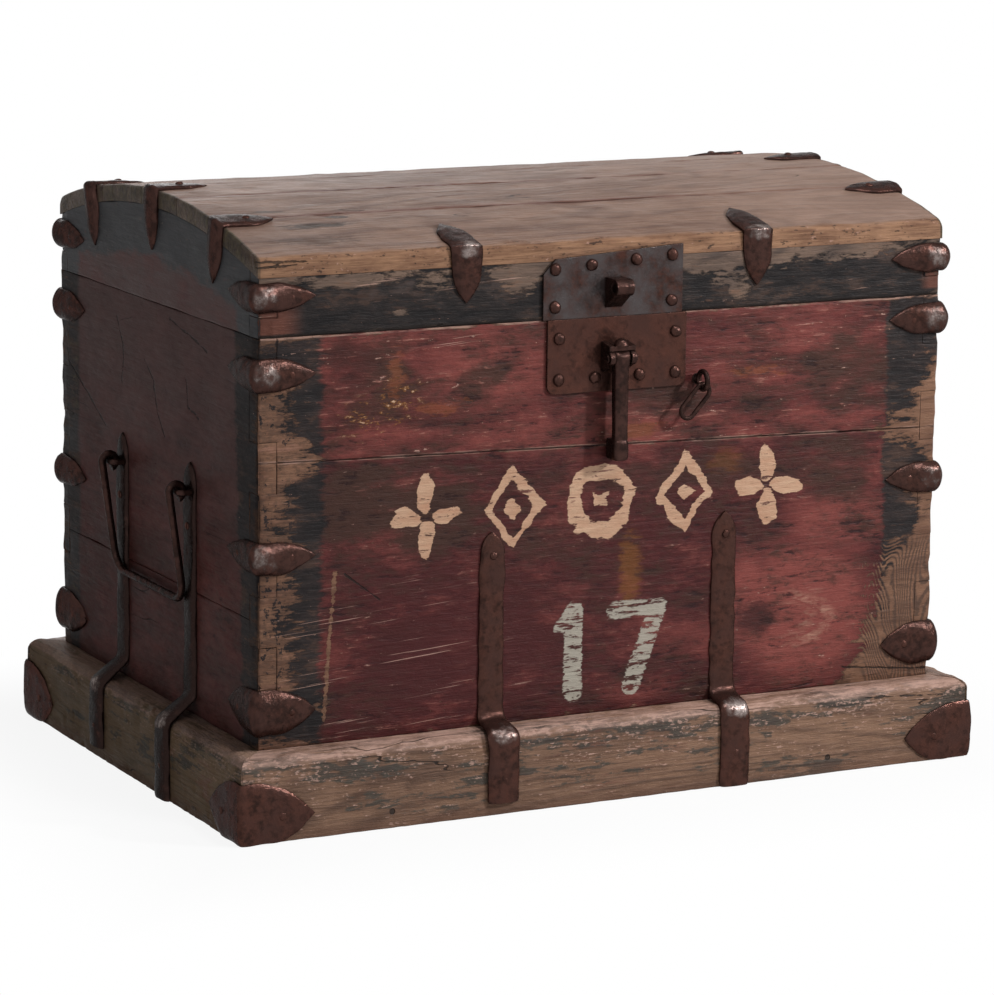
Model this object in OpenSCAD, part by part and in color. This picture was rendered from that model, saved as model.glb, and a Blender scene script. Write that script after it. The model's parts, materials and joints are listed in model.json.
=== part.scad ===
// Iron-bound wooden travelling chest with an arched lid.
// Units are millimetres. +X runs along the front, the front faces -Y, +Z is up.
// The origin is at floor level, under the middle of the base frame.

/* [Body] */
// Outside width of the box
body_w = 860; // [760:10:960]
// Outside depth of the box
body_d = 578; // [520:2:680]
// Height of the box walls, from the base frame to the lid joint
body_h = 451; // [430:1:500]
// Thickness of the wall boards
wall_t = 22; // [18:1:28]
// Height of the front board joint above the base frame, at the left end
front_joint_left = 316; // [300:1:330]
// Height of the front board joint above the base frame, at the right end
front_joint_right = 296; // [290:1:330]
// Height of the end board joint above the base frame
end_joint = 141; // [124:1:158]
// Height of the back board joint above the base frame
back_joint = 254; // [235:1:275]
// Thickness of the bottom boards
bottom_t = 20; // [14:1:26]
// Number of bottom boards
bottom_count = 3; // [2:1:4]
// Gap between bottom boards
bottom_gap = 0.8; // [0.5:0.1:0.9]
// Number of fingers in a corner joint of the box
body_fingers = 8; // [6:2:10]

/* [Base frame] */
// Height of the base rails
base_h = 95; // [88:1:110]
// Width of the ledge that the rails leave round the box
base_ledge = 34; // [28:1:40]
// Radius of the worn outer top edge of a rail
rail_round = 12; // [8:1:16]
// How far the rails reach inside the walls, to carry the bottom boards
rail_shelf = 22; // [14:1:30]

/* [Lid] */
// Height of the lid's front edge above the lid joint
lid_side_h = 86; // [80:1:96]
// Rise of the arched top above its front edge
lid_rise = 42; // [34:1:50]
// Thickness of the lid's side boards
lid_wall_t = 22; // [18:1:26]
// Thickness of the arched top boards
top_t = 20; // [15:1:24]
// Gap between box and lid
lid_gap = 0.4; // [0.3:0.1:0.9]
// Gap between neighbouring top boards
top_gap = 0.8; // [0.4:0.1:0.9]
// Number of fingers in a corner joint of the lid
lid_fingers = 3; // [3:2:5]

/* [Long straps] */
// Thickness of the forged straps
strap_t = 4; // [3:0.5:5]
// Width of a long strap on the wall
strap_w = 31; // [28:1:34]
// Width of a long strap's foot on the base rail
strap_foot_w = 37; // [35:1:42]
// Length of a long strap's pointed tip
strap_tip = 26; // [20:1:28]
// Inner radius of the bend where a strap leaves the wall
strap_bend = 10; // [6:1:14]
// Distance of the front straps from the middle
front_strap_x = 148; // [120:1:200]
// Height of the front strap tips above the floor
front_strap_top = 314; // [280:1:340]
// Height above the floor of the feet that stop short of it
strap_lift = 14; // [5:1:24]
// Fall of a front strap over the ledge, in degrees
front_strap_fall = 14; // [8:1:24]
// Height of the handle strap tips above the floor
handle_strap_top = 382; // [360:1:400]
// Distance from one handle strap to the other
handle_span = 199; // [170:1:240]
// Distance of the handles in front of the middle
handle_forward = 6; // [1:1:20]
// Fall of a handle strap over the ledge, in degrees
handle_strap_fall = 38; // [20:1:45]

/* [Corner straps] */
// Thickness of the corner straps, base plates and hinge leaves
corner_t = 3.5; // [2.5:0.5:4]
// Length of a corner strap's leaf along the front or back
corner_len = 68; // [54:1:80]
// Length of a corner strap's leaf along the end
corner_end_len = 78; // [60:1:80]
// Width of the upper and middle corner straps
corner_w = 36; // [28:1:40]
// Width of the lowest corner straps
corner_low_w = 50; // [40:1:54]
// Distance of the top corner straps below the lid joint, at the left
corner_top_left = 40; // [30:1:50]
// Distance of the top corner straps below the lid joint, at the right
corner_top_right = 27; // [24:1:50]
// Height of the middle corner straps above the base frame, at the left
corner_mid_left = 212; // [180:1:250]
// Height of the middle corner straps above the base frame, at the right
corner_mid_right = 238; // [180:1:250]
// Height of the lowest corner straps above the base frame
corner_low = 41; // [30:1:60]
// Length of a base corner plate's leaf
base_plate_len = 86; // [70:1:100]
// Height of a base corner plate
base_plate_h = 68; // [58:1:70]
// Height of a base corner plate's tip above the floor
base_plate_tip = 30; // [24:1:36]

/* [Lid straps] */
// Height of the lid's corner straps above the lid joint
lid_corner_z = 44; // [36:1:46]
// Width of the lid's corner straps
lid_corner_w = 33; // [26:1:36]
// Width of the lid's edge straps
lid_strap_w = 37; // [30:1:42]
// Distance of the lid's front straps from the middle
lid_strap_x = 183; // [150:1:220]
// Length of a lid front strap's leaf down the front
lid_strap_front_len = 61; // [50:1:66]
// Length of a lid end strap's leaf down the end
lid_strap_end_len = 69; // [56:1:74]
// Length of a lid strap's leaf over the top
lid_strap_top_len = 66; // [50:1:80]
// Spacing of the three lid straps on an end
lid_strap_step = 184; // [160:1:184]
// Distance of the middle lid end strap behind the middle
lid_strap_back = 4; // [1:1:8]

/* [Lock] */
// Thickness of the lock plates
plate_t = 3; // [2:0.5:4]
// Width of the lock plates
plate_w = 175; // [150:1:200]
// Shift of the upper plate to the left
plate_upper_shift = 2; // [1:1:6]
// Shift of the lower plate to the right
plate_lower_shift = 4; // [1:1:8]
// Height of the upper lock plate at its left end
plate_upper_left = 66; // [62:1:74]
// Height of the upper lock plate at its right end
plate_upper_right = 77; // [66:1:78]
// Length of the cut top left corner of the upper plate
plate_cut = 15; // [8:1:18]
// Height of the lower lock plate
plate_lower_h = 83; // [80:1:96]
// Radius of the lower plate's bottom corners
plate_round = 10; // [5:1:16]
// Diameter of the dome nails on the lock plates
dome_d = 14; // [10:1:15]
// Height of the dome nails
dome_h = 5.5; // [3:0.5:6.5]
// Distance of the dome nails from the edges of the plates
dome_inset = 14; // [10:1:18]
// Distance of the middle dome nails from the middle of a plate
dome_middle = 28; // [26:1:40]
// Width of the padlock lug on the lid
lug_w = 21; // [16:1:26]
// Diameter of the padlock hole
lug_hole_d = 11; // [8:0.5:12]
// Thickness of the lug round its hole
lug_rim = 4; // [3.5:0.5:5]
// Distance of the padlock hole from the lock plate
lug_out = 20; // [16:0.5:24]
// Height of the padlock hole above the lid joint
lug_z = 35; // [31:1:38]
// Height of the lug's root on the plate
lug_root = 34; // [28:1:38]

/* [Hasp] */
// Diameter of the hasp's pin
hasp_pin_d = 7; // [6:0.5:8]
// Distance of the hasp's pin from the lock plate
hasp_pin_out = 16; // [15:0.5:18]
// Drop from the lid joint to the hasp's pin
hasp_drop = 44; // [40:1:50]
// Diameter of the hasp's knuckles
hasp_knuckle_d = 16; // [14:0.5:18]
// Width of the hasp's own knuckle
hasp_knuckle_w = 20; // [18:1:24]
// Thickness of the bracket's ears
hasp_ear_t = 6; // [4:0.5:7]
// Diameter of the knob over the ears
hasp_knob_d = 17; // [14:1:20]
// Length of the hasp, from its pin to its foot
hasp_len = 115; // [100:1:125]
// Width of the hasp's shank
hasp_w = 18; // [14:1:18]
// Thickness of the hasp's shank
hasp_t = 12; // [9:0.5:12]
// Height of the hasp's foot
hasp_foot_h = 22; // [14:1:28]

/* [Handles] */
// Diameter of the handle's bar
bail_d = 9; // [8:0.5:10]
// Drop from the handle's pivot to the middle of its grip
bail_drop = 126; // [100:1:140]
// Bend radius at the ends of the grip
bail_bend = 24; // [16:1:30]
// Diameter of the handle staples
staple_d = 7; // [6:0.5:8]
// Gap between a strap and the eye of the handle
bail_play = 1.2; // [0.8:0.2:4]
// Distance of the handle's pivot below the strap's tip
bail_below_tip = 32; // [30:1:40]

/* [Hinges] */
// Distance of the lid hinges from the middle
hinge_x = 235; // [200:5:300]
// Width of the hinge leaves
hinge_w = 42; // [36:1:50]
// Diameter of the hinge knuckles
knuckle_d = 14; // [12:0.5:16]
// Diameter of the hinge pins
hinge_pin_d = 7; // [5:0.5:7]
// Length of the hinge leaf on the box
hinge_leaf_box = 92; // [70:1:110]
// Length of the hinge leaf on the lid
hinge_leaf_lid = 62; // [54:1:66]

/* [Ring] */
// Diameter of the eye's bar
eye_bar_d = 6; // [5:0.5:7]
// Radius of the eye, at the middle of its bar
eye_r = 10; // [9.5:0.5:12]
// Distance of the eye from the end of the lower lock plate
eye_from_plate = 16; // [14:1:30]
// Drop from the lid joint to the eye
eye_drop = 77; // [60:1:90]
// Diameter of the link's bar
link_bar_d = 5; // [4:0.5:5]
// Bend radius of the link, at the middle of its bar
link_r = 8.5; // [8:0.5:10]
// Length of the link's straight sides
link_straight = 28; // [20:1:34]
// Lean of the link from hanging straight, in degrees
link_lean = 42; // [5:1:50]

/* [Nails] */
// Diameter of the strap nails' heads
nail_d = 9; // [7:0.5:10]
// Height of the strap nails' heads
nail_h = 2.5; // [1.5:0.5:3]

/* [Hidden] */

$fn = 64;
wood_red = "#5a2a26";
wood_bare = "#7a5a42";
wood_top = "#7d675c";
iron = "#3a2a27";

// Clearance between boards that meet
board_gap = 0.2;
// Clearance under iron that is bent over a rounded edge
seat_gap = 0.15;
// Radial clearance of a pin in its hole
pin_gap = 0.08;
// Clearance between pieces that move past each other
move_gap = 0.4;
// Clearance between a bar and the bar that hangs on it
loop_gap = 0.3;

half_w = body_w / 2;
half_d = body_d / 2;
base_half_w = half_w + base_ledge;
base_half_d = half_d + base_ledge;
rail_w = base_ledge + wall_t + rail_shelf;
joint_z = base_h + body_h;
lid_z = joint_z + lid_gap;
edge_z = joint_z + lid_side_h;

// The top is part of a cylinder about a line along X
arch_r = (half_d * half_d + lid_rise * lid_rise) / (2 * lid_rise);
arch_z = edge_z + lid_rise - arch_r;
arch_fn = 720;
function arch_lean(y) = asin(y / arch_r);
function arch_top(y) = arch_z + sqrt(arch_r * arch_r - y * y);

// Edges of the top boards, as shares of the depth from the middle
top_joints = [-0.5, -0.292, -0.115, 0.062, 0.265, 0.5];

// Mirrored copies
module flip_x(turned) {
    if (turned) mirror([1, 0, 0]) children();
    else children();
}
module flip_y(turned) {
    if (turned) mirror([0, 1, 0]) children();
    else children();
}

// Copies a piece of the front left corner to the corner on this side and end
module at_corner(side, end) flip_y(end > 0) flip_x(side > 0) children();

// Wall pieces are drawn flat: x along the wall, y up, z out of the wall
module on_front(out = half_d) translate([0, -out, 0]) rotate([90, 0, 0]) children();
module on_back(out = half_d) flip_y(true) on_front(out) children();
// On the end walls a piece's x runs towards the front
module on_left(out = half_w) rotate([0, 0, -90]) on_front(out) children();
module on_side(side) flip_x(side > 0) on_left() children();

// Gothic leaf along +X: straight sides for a stretch, then two arcs to a point
module leaf(len, w, straight) {
    tip = len - straight;
    r = (tip * tip + w * w / 4) / w;
    if (straight > 0) translate([0, -w / 2]) square([straight, w]);
    intersection() {
        translate([straight, w / 2 - r]) circle(r, $fn = 180);
        translate([straight, r - w / 2]) circle(r, $fn = 180);
        translate([straight, -w]) square([tip + 1, 2 * w]);
    }
}

// Points of an arc about c, from angle a0 to a1
function arc(c, r, a0, a1, n) =
    [for (i = [0:n]) let (a = a0 + (a1 - a0) * i / n) [c[0] + r * cos(a), c[1] + r * sin(a)]];

// Domed nail head on the plane z = 0
module dome(d, h) {
    r = (d * d / 4 + h * h) / (2 * h);
    intersection() {
        translate([0, 0, h - r]) sphere(r, $fn = 48);
        cylinder(d = d, h = h + 1, $fn = 48);
    }
}

// Bend of a round bar about Z, from +X towards +Y
module bar_bend(r, d, angle = 90) rotate_extrude(angle = angle) translate([r, 0]) circle(d = d, $fn = 32);

// Straight round bar along +X
module bar(d, len) rotate([0, 90, 0]) cylinder(d = d, h = len);

// Hole along X for a pin
module pin_hole(d, len) rotate([0, 90, 0]) cylinder(d = d + 2 * pin_gap, h = len, center = true);

// Pin along X with a flat head past each end
head_t = 2;
module headed_pin(half, d) rotate([0, 90, 0]) {
    cylinder(d = d, h = 2 * half + head_t, center = true);
    for (side = [-1, 1]) translate([0, 0, side * (half + head_t / 2)])
        cylinder(d = d + 3, h = head_t, center = true);
}

// A base rail along X, its outer face at y = -out, with mitred ends
module base_rail(half_len, out) color(wood_bare) intersection() {
    translate([-half_len, -out, 0]) rotate([90, 0, 90]) linear_extrude(2 * half_len) union() {
        square([rail_w, base_h - rail_round]);
        translate([rail_round, 0]) square([rail_w - rail_round, base_h]);
        translate([rail_round, base_h - rail_round]) circle(rail_round);
    }
    linear_extrude(base_h + 1) polygon([
        [-half_len + board_gap, -out], [half_len - board_gap, -out],
        [half_len - rail_w - board_gap, -out + rail_w], [-half_len + rail_w + board_gap, -out + rail_w]
    ]);
}
module base_rail_front() base_rail(base_half_w, base_half_d);
module base_rail_back() flip_y(true) base_rail_front();
module base_rail_left() rotate([0, 0, -90]) base_rail(base_half_d, base_half_w);
module base_rail_right() flip_x(true) base_rail_left();

// Floor of the chest, laid lengthways on the rails' shelf
module bottom_boards() color(wood_bare) {
    inner_w = body_w - 2 * wall_t - 2 * board_gap;
    inner_d = body_d - 2 * wall_t - 2 * board_gap;
    step = (inner_d + bottom_gap) / bottom_count;
    for (i = [0:bottom_count - 1])
        translate([-inner_w / 2, -inner_d / 2 + i * step, base_h])
            cube([inner_w, step - bottom_gap, bottom_t]);
}

// Outline of a wall with the notches of its corner joints.
// Fingers are counted from the bottom; the wall gives up every second one, from first on.
module jointed_outline(half, h, t, step, count, first) difference() {
    translate([-half, 0]) square([2 * half, h]);
    for (i = [first:2:count - 1], side = [-1, 1])
        translate([side * half, (i + 0.5) * step])
            square([2 * (t + board_gap), step + board_gap], center = true);
}

// The part of a wall below or above a joint that runs from height a to height b
module board_part(low, half, h, a, b) intersection() {
    children();
    far = half + 1;
    polygon(low
        ? [[-far, -1], [far, -1], [far, b - board_gap / 2], [-far, a - board_gap / 2]]
        : [[-far, a + board_gap / 2], [far, b + board_gap / 2], [far, h + 1], [-far, h + 1]]);
}

body_step = body_h / body_fingers;
module long_board(low, a, b) color(wood_red) translate([0, 0, base_h]) on_front(half_d - wall_t)
    linear_extrude(wall_t) board_part(low, half_w, body_h, a, b)
        jointed_outline(half_w, body_h, wall_t, body_step, body_fingers, 1);
module front_board_upper() long_board(false, front_joint_left, front_joint_right);
module front_board_lower() long_board(true, front_joint_left, front_joint_right);
module back_board_upper() flip_y(true) long_board(false, back_joint, back_joint);
module back_board_lower() flip_y(true) long_board(true, back_joint, back_joint);

module end_board(low) color(wood_red) translate([0, 0, base_h]) on_left(half_w - wall_t)
    linear_extrude(wall_t) board_part(low, half_d, body_h, end_joint, end_joint)
        jointed_outline(half_d, body_h, wall_t, body_step, body_fingers, 0);
module left_board_upper() end_board(false);
module left_board_lower() end_board(true);
module right_board_upper() flip_x(true) end_board(false);
module right_board_lower() flip_x(true) end_board(true);

// A strap bent round the front left corner of a box of half sizes x and y.
// straight is the share of each leaf before its point.
module corner_band(x, y, len_x, len_y, w, straight) {
    on_front(y) translate([-x, 0, 0]) linear_extrude(corner_t) leaf(len_x, w, len_x * straight);
    on_left(x) translate([y, 0, 0]) flip_x(true) linear_extrude(corner_t) leaf(len_y, w, len_y * straight);
    translate([-x, -y, -w / 2]) rotate([0, 0, 180]) rotate_extrude(angle = 90) square([corner_t, w]);
}

// Middle heights and widths of the three corner straps on this side
function corner_z(side) = [
    joint_z - (side < 0 ? corner_top_left : corner_top_right),
    base_h + (side < 0 ? corner_mid_left : corner_mid_right),
    base_h + corner_low
];
corner_widths = [corner_w, corner_w, corner_low_w];
corner_straight = 0.25;
module corner_straps(side, end) color(iron) at_corner(side, end) for (i = [0:2])
    translate([0, 0, corner_z(side)[i]])
        corner_band(half_w, half_d, corner_len, corner_end_len, corner_widths[i], corner_straight);
module corner_straps_front_left() corner_straps(-1, -1);
module corner_straps_front_right() corner_straps(1, -1);
module corner_straps_back_left() corner_straps(-1, 1);
module corner_straps_back_right() corner_straps(1, 1);

// Plates at the foot of the chest: leaves whose lower side is cut off at the floor
base_plate_w = 2 * (base_plate_h - base_plate_tip);
base_plate_straight = 0.12;
module base_corner_plates() color(iron) for (side = [-1, 1], end = [-1, 1]) at_corner(side, end)
    intersection() {
        translate([0, 0, base_plate_tip]) corner_band(base_half_w, base_half_d,
            base_plate_len, base_plate_len, base_plate_w, base_plate_straight);
        translate([-body_w, -body_d, 0]) cube([2 * body_w, 2 * body_d, base_plate_h + 1]);
    }

// Side view of a long strap, x out of the wall: down the wall, over the ledge, down the rail
module strap_profile(top, bottom, fall) {
    edge_r = rail_round + seat_gap;
    edge = [base_ledge - rail_round, base_h - rail_round];
    touch = edge + edge_r * [sin(fall), cos(fall)];
    back_r = strap_bend + strap_t;
    bend = [back_r, touch[1] + (back_r - (back_r - touch[0]) * sin(fall)) / cos(fall)];
    polygon(concat(
        [[0, top], [strap_t, top]],
        arc(bend, strap_bend, 180, 270 - fall, 6),
        arc(edge, edge_r + strap_t, 90 - fall, 0, 10),
        [[base_ledge + seat_gap + strap_t, bottom], [base_ledge + seat_gap, bottom]],
        arc(edge, edge_r, 0, 90 - fall, 10),
        arc(bend, back_r, 270 - fall, 180, 6)
    ));
}

// Front view of a long strap: a leaf tip on top, wider on the rail
module strap_outline(top) {
    neck = base_h + 2 * strap_bend;
    hip = base_h - rail_round / 2;
    translate([0, top - strap_tip]) rotate(90) leaf(strap_tip, strap_w, 0);
    polygon([
        [-strap_w / 2, top - strap_tip], [-strap_w / 2, neck], [-strap_foot_w / 2, hip], [-strap_foot_w / 2, 0],
        [strap_foot_w / 2, 0], [strap_foot_w / 2, hip], [strap_w / 2, neck], [strap_w / 2, top - strap_tip]
    ]);
}

module long_strap(top, bottom, fall) color(iron) intersection() {
    rotate([0, -90, 0]) linear_extrude(2 * strap_foot_w, center = true) strap_profile(top, bottom, fall);
    translate([0, 0, -1]) linear_extrude(base_ledge + 2 * strap_t) strap_outline(top);
}

module front_strap(side) on_front() translate([side * front_strap_x, 0, 0])
    long_strap(front_strap_top, side < 0 ? strap_lift : 0, front_strap_fall);
module front_strap_left() front_strap(-1);
module front_strap_right() front_strap(1);
module back_strap_left() flip_y(true) front_strap(-1);
module back_strap_right() flip_y(true) front_strap(1);

// Place along the end of the handle strap nearer the front, -1, or the back, 1
function handle_x(end) = handle_forward - end * handle_span / 2;
module handle_strap(side, end) on_side(side) translate([handle_x(end), 0, 0])
    long_strap(handle_strap_top, end < 0 ? 0 : strap_lift, handle_strap_fall);
module left_strap_front() handle_strap(-1, -1);
module left_strap_back() handle_strap(-1, 1);
module right_strap_front() handle_strap(1, -1);
module right_strap_back() handle_strap(1, 1);

// Swinging handles: a round bar, its ends curled over the staples, its grip against the straps
handle_z = handle_strap_top - bail_below_tip;
bail_eye_r = (staple_d + bail_d) / 2 + loop_gap;
bail_out = strap_t + bail_play + bail_eye_r + bail_d / 2;
bail_in = bail_out - strap_t - bail_d / 2 - move_gap;
bail_lean = atan2(bail_eye_r, bail_drop) + asin(bail_in / norm([bail_eye_r, bail_drop]));
// The curl ends just before it meets the arm again
bail_curl = 180 + acos((bail_d + 2 * move_gap) / bail_eye_r - 1);
module handle(side) color(iron) on_side(side) translate([handle_forward, handle_z, bail_out])
    rotate([bail_lean, 0, 0]) for (half = [0, 1]) flip_x(half == 1) {
        translate([handle_span / 2, 0, 0]) rotate([0, -90, 0]) bar_bend(bail_eye_r, bail_d, bail_curl);
        translate([handle_span / 2, -bail_drop + bail_bend, bail_eye_r]) rotate([0, 0, 90])
            bar(bail_d, bail_drop - bail_bend);
        translate([handle_span / 2 - bail_bend, -bail_drop + bail_bend, bail_eye_r])
            rotate([0, 0, -90]) bar_bend(bail_bend, bail_d);
        translate([0, -bail_drop, bail_eye_r]) bar(bail_d, handle_span / 2 - bail_bend);
    }
module left_handle() handle(-1);
module right_handle() handle(1);

// Staples on the handle straps: legs, bends and the bar that a handle hangs on
staple_bend = staple_d / 2 + 1.5;
staple_half = (strap_w - staple_d - 1) / 2;
module handle_staples(side) color(iron) on_side(side) for (end = [-1, 1], half = [0, 1])
    translate([handle_x(end), handle_z, 0]) flip_x(half == 1) {
        translate([staple_half, 0, strap_t]) cylinder(d = staple_d, h = bail_out - staple_bend - strap_t);
        translate([staple_half - staple_bend, 0, bail_out - staple_bend]) rotate([90, 0, 0])
            bar_bend(staple_bend, staple_d);
        translate([0, 0, bail_out]) bar(staple_d, staple_half - staple_bend);
    }
module left_handle_staples() handle_staples(-1);
module right_handle_staples() handle_staples(1);

// Lower lock plate, square above and rounded below
plate_lower_z = joint_z - plate_lower_h;
module lock_plate_lower() color(iron) on_front() translate([plate_lower_shift, plate_lower_z, 0])
    linear_extrude(plate_t) {
        translate([-plate_w / 2, plate_round]) square([plate_w, plate_lower_h - plate_round]);
        translate([-plate_w / 2 + plate_round, 0]) square([plate_w - 2 * plate_round, plate_lower_h]);
        for (side = [-1, 1]) translate([side * (plate_w / 2 - plate_round), plate_round]) circle(plate_round);
    }

// Two nails near the top of the lower plate, four along its bottom
dome_end = plate_w / 2 - dome_inset;
module lock_nails_lower() color(iron) on_front(half_d + plate_t) translate([plate_lower_shift, 0, 0]) {
    for (x = [-dome_end, dome_end]) translate([x, joint_z - 1.5 * dome_inset, 0]) dome(dome_d, dome_h);
    for (x = [-dome_end, -dome_middle, dome_middle, dome_end])
        translate([x, plate_lower_z + dome_inset + 2, 0]) dome(dome_d, dome_h);
}

// Hasp bracket: two ears, joined over the hasp by a bridge with a round knob
hasp_z = joint_z - hasp_drop;
ear_half = hasp_knuckle_w / 2 + move_gap + hasp_ear_t;
ear_root = hasp_knuckle_d / 2 + 9;
bridge_z = hasp_knuckle_d / 2 + move_gap;
bridge_t = 5;
bridge_out = hasp_pin_out + 4;
module hasp_bracket() color(iron) on_front(half_d + plate_t) translate([0, hasp_z, 0]) difference() {
    union() {
        for (side = [-1, 1]) translate([side * (ear_half - hasp_ear_t / 2), 0, 0]) rotate([0, -90, 0])
            linear_extrude(hasp_ear_t, center = true) {
                translate([hasp_pin_out, 0]) circle(d = hasp_knuckle_d);
                polygon([[0, -ear_root], [hasp_pin_out, -hasp_knuckle_d / 2], [hasp_pin_out, bridge_z],
                    [bridge_out, bridge_z], [bridge_out, bridge_z + bridge_t], [0, ear_root]]);
            }
        translate([-ear_half, bridge_z, 0]) cube([2 * ear_half, bridge_t, bridge_out]);
        translate([0, bridge_z + bridge_t, hasp_pin_out]) intersection() {
            sphere(d = hasp_knob_d);
            translate([-hasp_knob_d, 0, -hasp_knob_d]) cube(2 * hasp_knob_d);
        }
    }
    translate([0, 0, hasp_pin_out]) pin_hole(hasp_pin_d, 3 * ear_half);
}
module hasp_pin() color(iron) on_front(half_d + plate_t) translate([0, hasp_z, hasp_pin_out])
    headed_pin(ear_half + loop_gap, hasp_pin_d);

module rounded_rect(w, h, r) {
    square([w - 2 * r, h], center = true);
    square([w, h - 2 * r], center = true);
    for (x = [-1, 1], y = [-1, 1]) translate([x * (w / 2 - r), y * (h / 2 - r)]) circle(r);
}

// Hanging hasp: knuckle, rounded shank, and a foot that reaches back to the wall
foot_front = hasp_t / 2 + 2;
foot_back = hasp_pin_out + plate_t - 2 * move_gap;
module hasp() color(iron) on_front(half_d + plate_t) translate([0, hasp_z, hasp_pin_out]) difference() {
    union() {
        rotate([0, 90, 0]) cylinder(d = hasp_knuckle_d, h = hasp_knuckle_w, center = true);
        rotate([90, 0, 0]) linear_extrude(hasp_len - 1) rounded_rect(hasp_w, hasp_t, 2.5);
        translate([0, -hasp_len + hasp_foot_h, (foot_front - foot_back) / 2]) rotate([90, 0, 0])
            linear_extrude(hasp_foot_h) rounded_rect(hasp_w + 2, foot_front + foot_back, 3);
    }
    pin_hole(hasp_pin_d, 2 * hasp_knuckle_w);
}

// Eye with its shank and rose on the front board
eye_x = plate_lower_shift + plate_w / 2 + eye_from_plate;
eye_z = joint_z - eye_drop;
eye_out = eye_r + eye_bar_d / 2 + 2;
rose_t = 1.5;
module ring_eye() color(iron) on_front() translate([eye_x, eye_z, 0]) {
    translate([0, 0, eye_out]) rotate([0, 90, 0]) rotate_extrude() translate([eye_r, 0])
        circle(d = eye_bar_d, $fn = 32);
    cylinder(d = eye_bar_d - 1, h = eye_out - eye_r);
    cylinder(d = 2 * eye_bar_d, h = rose_t);
}

// Long link, hung on the eye by its upper bend
link_z = eye_z - eye_r + (eye_bar_d + link_bar_d) / 2 + loop_gap - link_r;
module ring_link() color(iron) on_front() translate([eye_x, link_z, eye_out]) rotate([0, 0, -link_lean]) {
    bar_bend(link_r, link_bar_d, 180);
    for (x = [-link_r, link_r]) translate([x, -link_straight, 0]) rotate([0, 0, 90]) bar(link_bar_d, link_straight);
    translate([0, -link_straight, 0]) rotate([0, 0, 180]) bar_bend(link_r, link_bar_d, 180);
}

// Hinges at the back, drawn about the line of the pin; up is 1 for the lid's leaf, -1 for the box's
hinge_out = knuckle_d / 2 + 0.5;
hinge_z = joint_z + lid_gap / 2;
module at_hinge(side) on_back() translate([side * hinge_x, hinge_z, 0]) children();
module hinge_leaf(len, up) {
    third = hinge_w / 3;
    notch = knuckle_d / 2 + move_gap;
    own = up > 0 ? [0] : [-third, third];
    others = up > 0 ? [-third, third] : [0];
    color(iron) difference() {
        union() {
            flip_y(up < 0) linear_extrude(corner_t) difference() {
                translate([0, lid_gap]) rotate(90) leaf(len - lid_gap, hinge_w, len * 0.55);
                for (x = others) translate([x, 0])
                    square([third + 2 * loop_gap, 2 * notch], center = true);
            }
            for (x = own) translate([x, 0, hinge_out]) rotate([0, 90, 0])
                cylinder(d = knuckle_d, h = third - loop_gap, center = true);
        }
        translate([0, 0, hinge_out]) pin_hole(hinge_pin_d, 2 * hinge_w);
    }
}
module hinge_leaf_box_left() at_hinge(-1) hinge_leaf(hinge_leaf_box, -1);
module hinge_leaf_box_right() at_hinge(1) hinge_leaf(hinge_leaf_box, -1);
module hinge_leaf_lid_left() at_hinge(-1) hinge_leaf(hinge_leaf_lid, 1);
module hinge_leaf_lid_right() at_hinge(1) hinge_leaf(hinge_leaf_lid, 1);
module hinge_pin(side) color(iron) at_hinge(side) translate([0, 0, hinge_out])
    headed_pin(hinge_w / 2 + loop_gap, hinge_pin_d);
module hinge_pin_left() hinge_pin(-1);
module hinge_pin_right() hinge_pin(1);

// Everything inside the cylinder of radius r about the arch's line
module arch_cylinder(r) translate([0, 0, arch_z]) rotate([0, 90, 0])
    cylinder(r = r, h = 2 * body_w, center = true, $fn = arch_fn);
module under_arch(r) intersection() {
    children();
    arch_cylinder(r);
}

// Front and back boards of the lid end under the top boards, as the end boards do
lid_step = (lid_side_h - top_t) / lid_fingers;
under_top = arch_r - top_t - seat_gap;
module lid_long_board() color(wood_red) under_arch(under_top) translate([0, 0, lid_z])
    on_front(half_d - lid_wall_t) linear_extrude(lid_wall_t)
        jointed_outline(half_w, lid_side_h, lid_wall_t, lid_step, lid_fingers, 1);
module lid_front_board() lid_long_board();
module lid_back_board() flip_y(true) lid_long_board();
module lid_end_left() color(wood_red) under_arch(under_top) translate([0, 0, lid_z])
    on_left(half_w - lid_wall_t) linear_extrude(lid_wall_t) difference() {
        jointed_outline(half_d, lid_side_h + lid_rise, lid_wall_t, lid_step, lid_fingers, 0);
        // The front and back boards run through above the last finger too
        for (side = [-1, 1]) translate([side * half_d, lid_fingers * lid_step])
            square([2 * (lid_wall_t + board_gap), lid_step], center = true);
    }
module lid_end_right() flip_x(true) lid_end_left();

module lid_top_board(i) {
    y0 = top_joints[i - 1] * body_d + (i > 1 ? top_gap / 2 : 0);
    y1 = top_joints[i] * body_d - (i < 5 ? top_gap / 2 : 0);
    color(wood_top) difference() {
        under_arch(arch_r) translate([-half_w, y0, joint_z]) cube([body_w, y1 - y0, lid_side_h + lid_rise + 1]);
        arch_cylinder(arch_r - top_t);
    }
}

module lid_corner_straps() color(iron) for (side = [-1, 1], end = [-1, 1]) at_corner(side, end)
    translate([0, 0, joint_z + lid_corner_z])
        corner_band(half_w, half_d, corner_len, corner_end_len, lid_corner_w, corner_straight);

// Share of a lid strap's leaf before its point
lid_leaf_straight = 0.35;

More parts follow.
